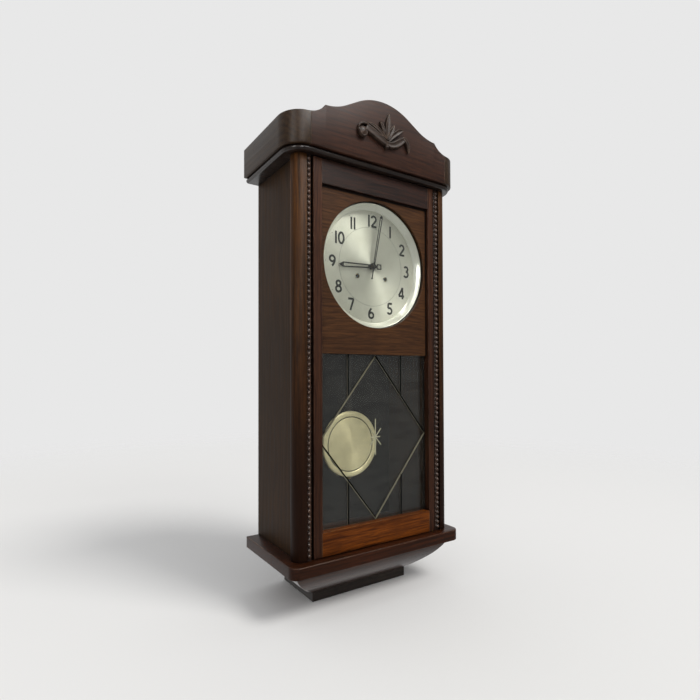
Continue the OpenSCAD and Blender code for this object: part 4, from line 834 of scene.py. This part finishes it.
class REGULATOR_OT_pendulum(bpy.types.Operator):
    """Pendulum rod, the spun bob, its nut and the suspension spring"""

    bl_idname = "regulator.pendulum"
    bl_label = "Pendulum"

    def execute(self, context):
        middle = (0, 0, DIAL_Z + BOB_Z * MM)
        bob = spun_metal("brass_bob_spun_silvered", "f9e9bb", "dccb9c", 0.4, middle,
                         aniso=0.85, tarnish=0.45, metallic=0.35)
        rod = oak("beech_rod_black_stained", "15110e", "2a211a", "3a2e24", "Z", 3, grain=0.5,
                  rubbed_and_lit_colour="54463a", rubbed_and_lit_share=0.4, roughness=0.5)
        brass = plain_metal("brass_turned", "a68c4e", "8a7340", 0.3)
        spring = plain_metal("steel_spring_blued", "43464d", "5a5d63", 0.3, 6)
        paint(rod, "pendulum_rod")
        paint(brass, "rating_nut")
        paint(spring, "suspension_spring")
        paint(bob, "pendulum_bob")
        # the bob's spun face: a raised ring, a groove, and a dished disc that rises 1.6 mm
        a = np.radians(np.linspace(0, 180, 13))
        ring = np.stack([50.2 + 4.6 * np.cos(a), BOB_FACE - 0.05 - 1.5 * np.sin(a)], -1)
        r = np.linspace(44.6, 0.6, 24)
        disc = np.stack([r, BOB_FACE - 0.55 - 1.6 * (1 - (r / 45) ** 2)], -1)
        face = np.concatenate([[[54.8, BOB_FACE]], ring, [[45.3, BOB_FACE - 0.2]], disc])
        piece("bob_face", [knob(face, (0, BOB_Z), 160)], bob, "pendulum",
              smooth=35)
        # the groove is dark: a near-black ring lies in it
        groove_dark = plain_metal("brass_groove_dark", "16130c", "2a2416", 0.6, 4, metallic=0.2)
        line = np.array([[44.6, -0.65], [46.0, -0.65], [46.0, -0.1], [44.6, -0.1]])
        line[:, 1] += BOB_FACE
        piece("bob_groove", [turned(line, (0, BOB_Z), 160)], groove_dark, "pendulum",
              smooth=35)
        return {"FINISHED"}


class REGULATOR_OT_movement(bpy.types.Operator):
    """Finishes of the movement, the gong, the brackets and the hanger"""

    bl_idname = "regulator.movement"
    bl_label = "Movement and hanger"

    def execute(self, context):
        plate = plain_metal("brass_plate_rolled", "b08f50", "957a45", 0.3, 30)
        wheel = plain_metal("brass_wheel_cut", "b89a58", "9c8149", 0.26, 6)
        steel = plain_metal("steel_arbor_polished", "9a9b98", "7f807e", 0.24, 5)
        spring = plain_metal("steel_mainspring_blued", "53565c", "3c3f45", 0.3, 10)
        gong = plain_metal("steel_gong_blued", "34373f", "4a4c50", 0.33, 12)
        iron = plain_metal("iron_black_japanned", "1c1b1a", "2a2826", 0.5, 6, 0.2, 0.2)
        zinc = plain_metal("steel_zinc_plated", "9c9a92", "7e7b73", 0.35, 5)
        paint(plate, "front_plate", "back_plate", "plate_pillars", "back_cock")
        paint(wheel, "time_great_wheel", "time_second_arbor", "third_arbor", "escape_arbor",
              "minute_wheel", "hour_wheel", "strike_great_wheel", "strike_pin_arbor",
              "strike_lock_arbor", "strike_fly")
        paint(steel, "centre_arbor", "time_click", "strike_click", "time_winding_arbor",
              "strike_winding_arbor", "anchor", "hammer")
        paint(spring, "mainsprings")
        paint(gong, "gong_coil")
        paint(iron, "gong_stand", "movement_brackets")
        paint(zinc, "hanger_plate", "hanger_screws")
        return {"FINISHED"}


def lamp(name, place, aim, share, colour, size):
    """A soft square lamp, size metres wide, at place, or a sun size degrees wide where size
    is above 10. A share of 1 lights a face turned to it so that its colour renders as it is
    written: a sun's strength is then pi, and a lamp's watts are pi squared times the
    distance squared."""
    way = np.array(aim, float) - np.array(place, float)
    sun = size > 10
    data = bpy.data.lights.new(name, "SUN" if sun else "AREA")
    if sun:
        data.angle, data.energy = math.radians(size), math.pi * share
    else:
        data.shape, data.size = "SQUARE", size
        data.energy = math.pi**2 * float(way @ way) * share
    data.color = linear(colour)[:3]
    made = bpy.data.objects.new(name, data)
    level = math.hypot(way[0], way[1])
    made.rotation_euler = Euler((math.atan2(level, -way[2]), 0, math.atan2(-way[0], way[1])))
    made.location = place
    made.visible_camera = False
    bpy.context.scene.collection.objects.link(made)


class REGULATOR_OT_stage(bpy.types.Operator):
    """Camera, pale floor, backdrop and soft lamps"""

    bl_idname = "regulator.stage"
    bl_label = "Stage"

    def execute(self, context):
        scene, colours = context.scene, context.scene.regulator_colours
        scene.view_settings.view_transform = "Standard"
        data = bpy.data.cameras.new("photo_camera")
        data.sensor_width, data.lens = 36.0, 24.05
        data.shift_x, data.shift_y = 0.0493, 0.0241
        data.clip_start = 0.01
        camera = bpy.data.objects.new("photo_camera", data)
        camera.location = (-0.4606, -0.7045, -0.3302)
        camera.rotation_euler = Euler([math.radians(v) for v in (90.955, 0.099, -31.470)])
        scene.collection.objects.link(camera)
        scene.camera = camera
        # floor: a disc that fades into the backdrop 1.1 m to 2.2 m from the clock
        steps, far = 64, 3.2
        t = np.linspace(0, 2 * np.pi, steps, endpoint=False)
        rim = np.stack([far * np.cos(t), far * np.sin(t), np.full(steps, FLOOR_Z - 0.0004)], -1)
        mesh = bpy.data.meshes.new("floor")
        mesh.from_pydata(rim.tolist(), [], [list(range(steps))])
        floor = bpy.data.objects.new("floor", mesh)
        scene.collection.objects.link(floor)
        made, tree, shader, out = finish("floor_paper_matt", Base_Color=(*colours.floor, 1),
                                         Roughness=1.0, Specular_IOR_Level=0.0)
        place = node(tree, "TexCoord").outputs["Object"]
        reach = node(tree, "VectorMath", {0: place}, operation="LENGTH").outputs["Value"]
        fade = node(tree, "MapRange", {"Value": reach, "From Min": 1.1, "From Max": 2.2},
                    interpolation_type="SMOOTHSTEP")
        # gloss mirrors the floor under the clock, and further out the darker room in front
        glossy = node(tree, "LightPath").outputs["Is Glossy Ray"]
        near = node(tree, "MapRange", {"Value": reach, "From Min": 0.35, "From Max": 0.7})
        gloss = node(tree, "Math", {0: near, 1: glossy}, operation="MULTIPLY")
        gone = node(tree, "Math", {0: fade, 1: gloss}, operation="MAXIMUM")
        both = node(tree, "MixShader", {"Fac": gone, 1: shader,
                                        2: node(tree, "BsdfTransparent")})
        feed(tree, out, {"Surface": both})
        mesh.materials.append(made)
        # room: the backdrop for the camera. Gloss and glass mirror it behind the clock and a
        # darker room in front, and plain light comes evenly from all sides.
        world = bpy.data.worlds.new("room")
        scene.world = world
        world.use_nodes = True
        tree = world.node_tree
        tree.nodes.clear()
        view = node(tree, "TexCoord").outputs["Generated"]
        x, y, z = node(tree, "SeparateXYZ", {"Vector": view}).outputs
        light = node(tree, "MapRange", {"Value": y, "From Min": -0.2, "From Max": 0.9,
                                        "To Min": 0.22, "To Max": 0.8})
        # what else gloss and glass mirror: a window high up in front and two tall strips of
        # light at 57 and 13 degrees to the left of the front
        near = node(tree, "VectorMath", {0: view, 1: (0.13, -0.7, 0.7)},
                    operation="DOT_PRODUCT")
        panes = [node(tree, "MapRange", {"Value": near.outputs["Value"], "From Min": 0.93,
                                         "From Max": 0.99, "To Max": 2.5})]
        back = node(tree, "Math", {0: y, 1: -1.0}, operation="MULTIPLY")
        turn = node(tree, "Math", {0: x, 1: back}, operation="ARCTAN2")
        high = node(tree, "MapRange", {"Value": z, "From Min": 0.0, "From Max": 0.2})
        for at, strength in ((-57, 6.0), (-13, 9.0)):
            hit = node(tree, "Math", {0: turn, 1: math.radians(at), 2: math.radians(5)},
                       operation="COMPARE")
            lit = node(tree, "Math", {0: hit, 1: high}, operation="MULTIPLY")
            panes.append(node(tree, "MapRange", {"Value": lit, "To Max": strength}))
        for pane in panes:
            light = node(tree, "Math", {0: light, 1: pane}, operation="ADD")
        white = (1, 1, 1, 1)
        plain, seen, wall = (
            node(tree, "Background", {"Color": colour, "Strength": strength})
            for colour, strength in ((white, 0.62), (white, light), ((*colours.backdrop, 1), 1.0)))
        ray = node(tree, "LightPath").outputs
        mirrored = node(tree, "Math", {0: ray["Is Glossy Ray"], 1: ray["Is Transmission Ray"]},
                        operation="MAXIMUM")
        room = node(tree, "MixShader", {"Fac": mirrored, 1: plain, 2: seen})
        pick = node(tree, "MixShader", {"Fac": ray["Is Camera Ray"], 1: room, 2: wall})
        node(tree, "OutputWorld", {"Surface": pick})
        lamp("key", (0.64, -1.02, 1.48), (0, 0, 0), 0.44, "fffdf9", 20)
        lamp("front_softbox", (0.27, -1.48, 0.99), (0, -0.1, -0.25), 0.13, "fffefc", 0.5)
        lamp("left_softbox", (-1.35, -1.0, 0.1), (0, -0.1, -0.25), 0.06, "fbf9f4", 0.35)
        return {"FINISHED"}


class REGULATOR_PT_panel(bpy.types.Panel):
    """The clock's operators and values"""

    bl_idname = "REGULATOR_PT_panel"
    bl_label = "Regulator Clock"
    bl_space_type = "VIEW_3D"
    bl_region_type = "UI"
    bl_category = "Regulator"

    def draw(self, context):
        column = self.layout.column()
        for made in OPERATORS:
            column.operator(made.bl_idname)
        for group in (context.scene.regulator_sizes, context.scene.regulator_colours):
            for name in group.__annotations__:
                column.prop(group, name)


OPERATORS = [REGULATOR_OT_case, REGULATOR_OT_hood, REGULATOR_OT_base, REGULATOR_OT_door,
             REGULATOR_OT_dial, REGULATOR_OT_pendulum, REGULATOR_OT_movement,
             REGULATOR_OT_stage]
CLASSES = [RegulatorSizes, RegulatorColours, *OPERATORS, REGULATOR_PT_panel]


def register():
    for made in CLASSES:
        bpy.utils.register_class(made)
    bpy.types.Scene.regulator_sizes = bpy.props.PointerProperty(type=RegulatorSizes)
    bpy.types.Scene.regulator_colours = bpy.props.PointerProperty(type=RegulatorColours)


def unregister():
    del bpy.types.Scene.regulator_sizes
    del bpy.types.Scene.regulator_colours
    for made in reversed(CLASSES):
        bpy.utils.unregister_class(made)


def main():
    register()
    bpy.ops.regulator.case()
    bpy.ops.regulator.hood()
    bpy.ops.regulator.base()
    bpy.ops.regulator.door()
    bpy.ops.regulator.dial()
    bpy.ops.regulator.pendulum()
    bpy.ops.regulator.movement()
    bpy.ops.regulator.stage()
    bpy.context.view_layer.update()


if __name__ == "__main__":
    main()
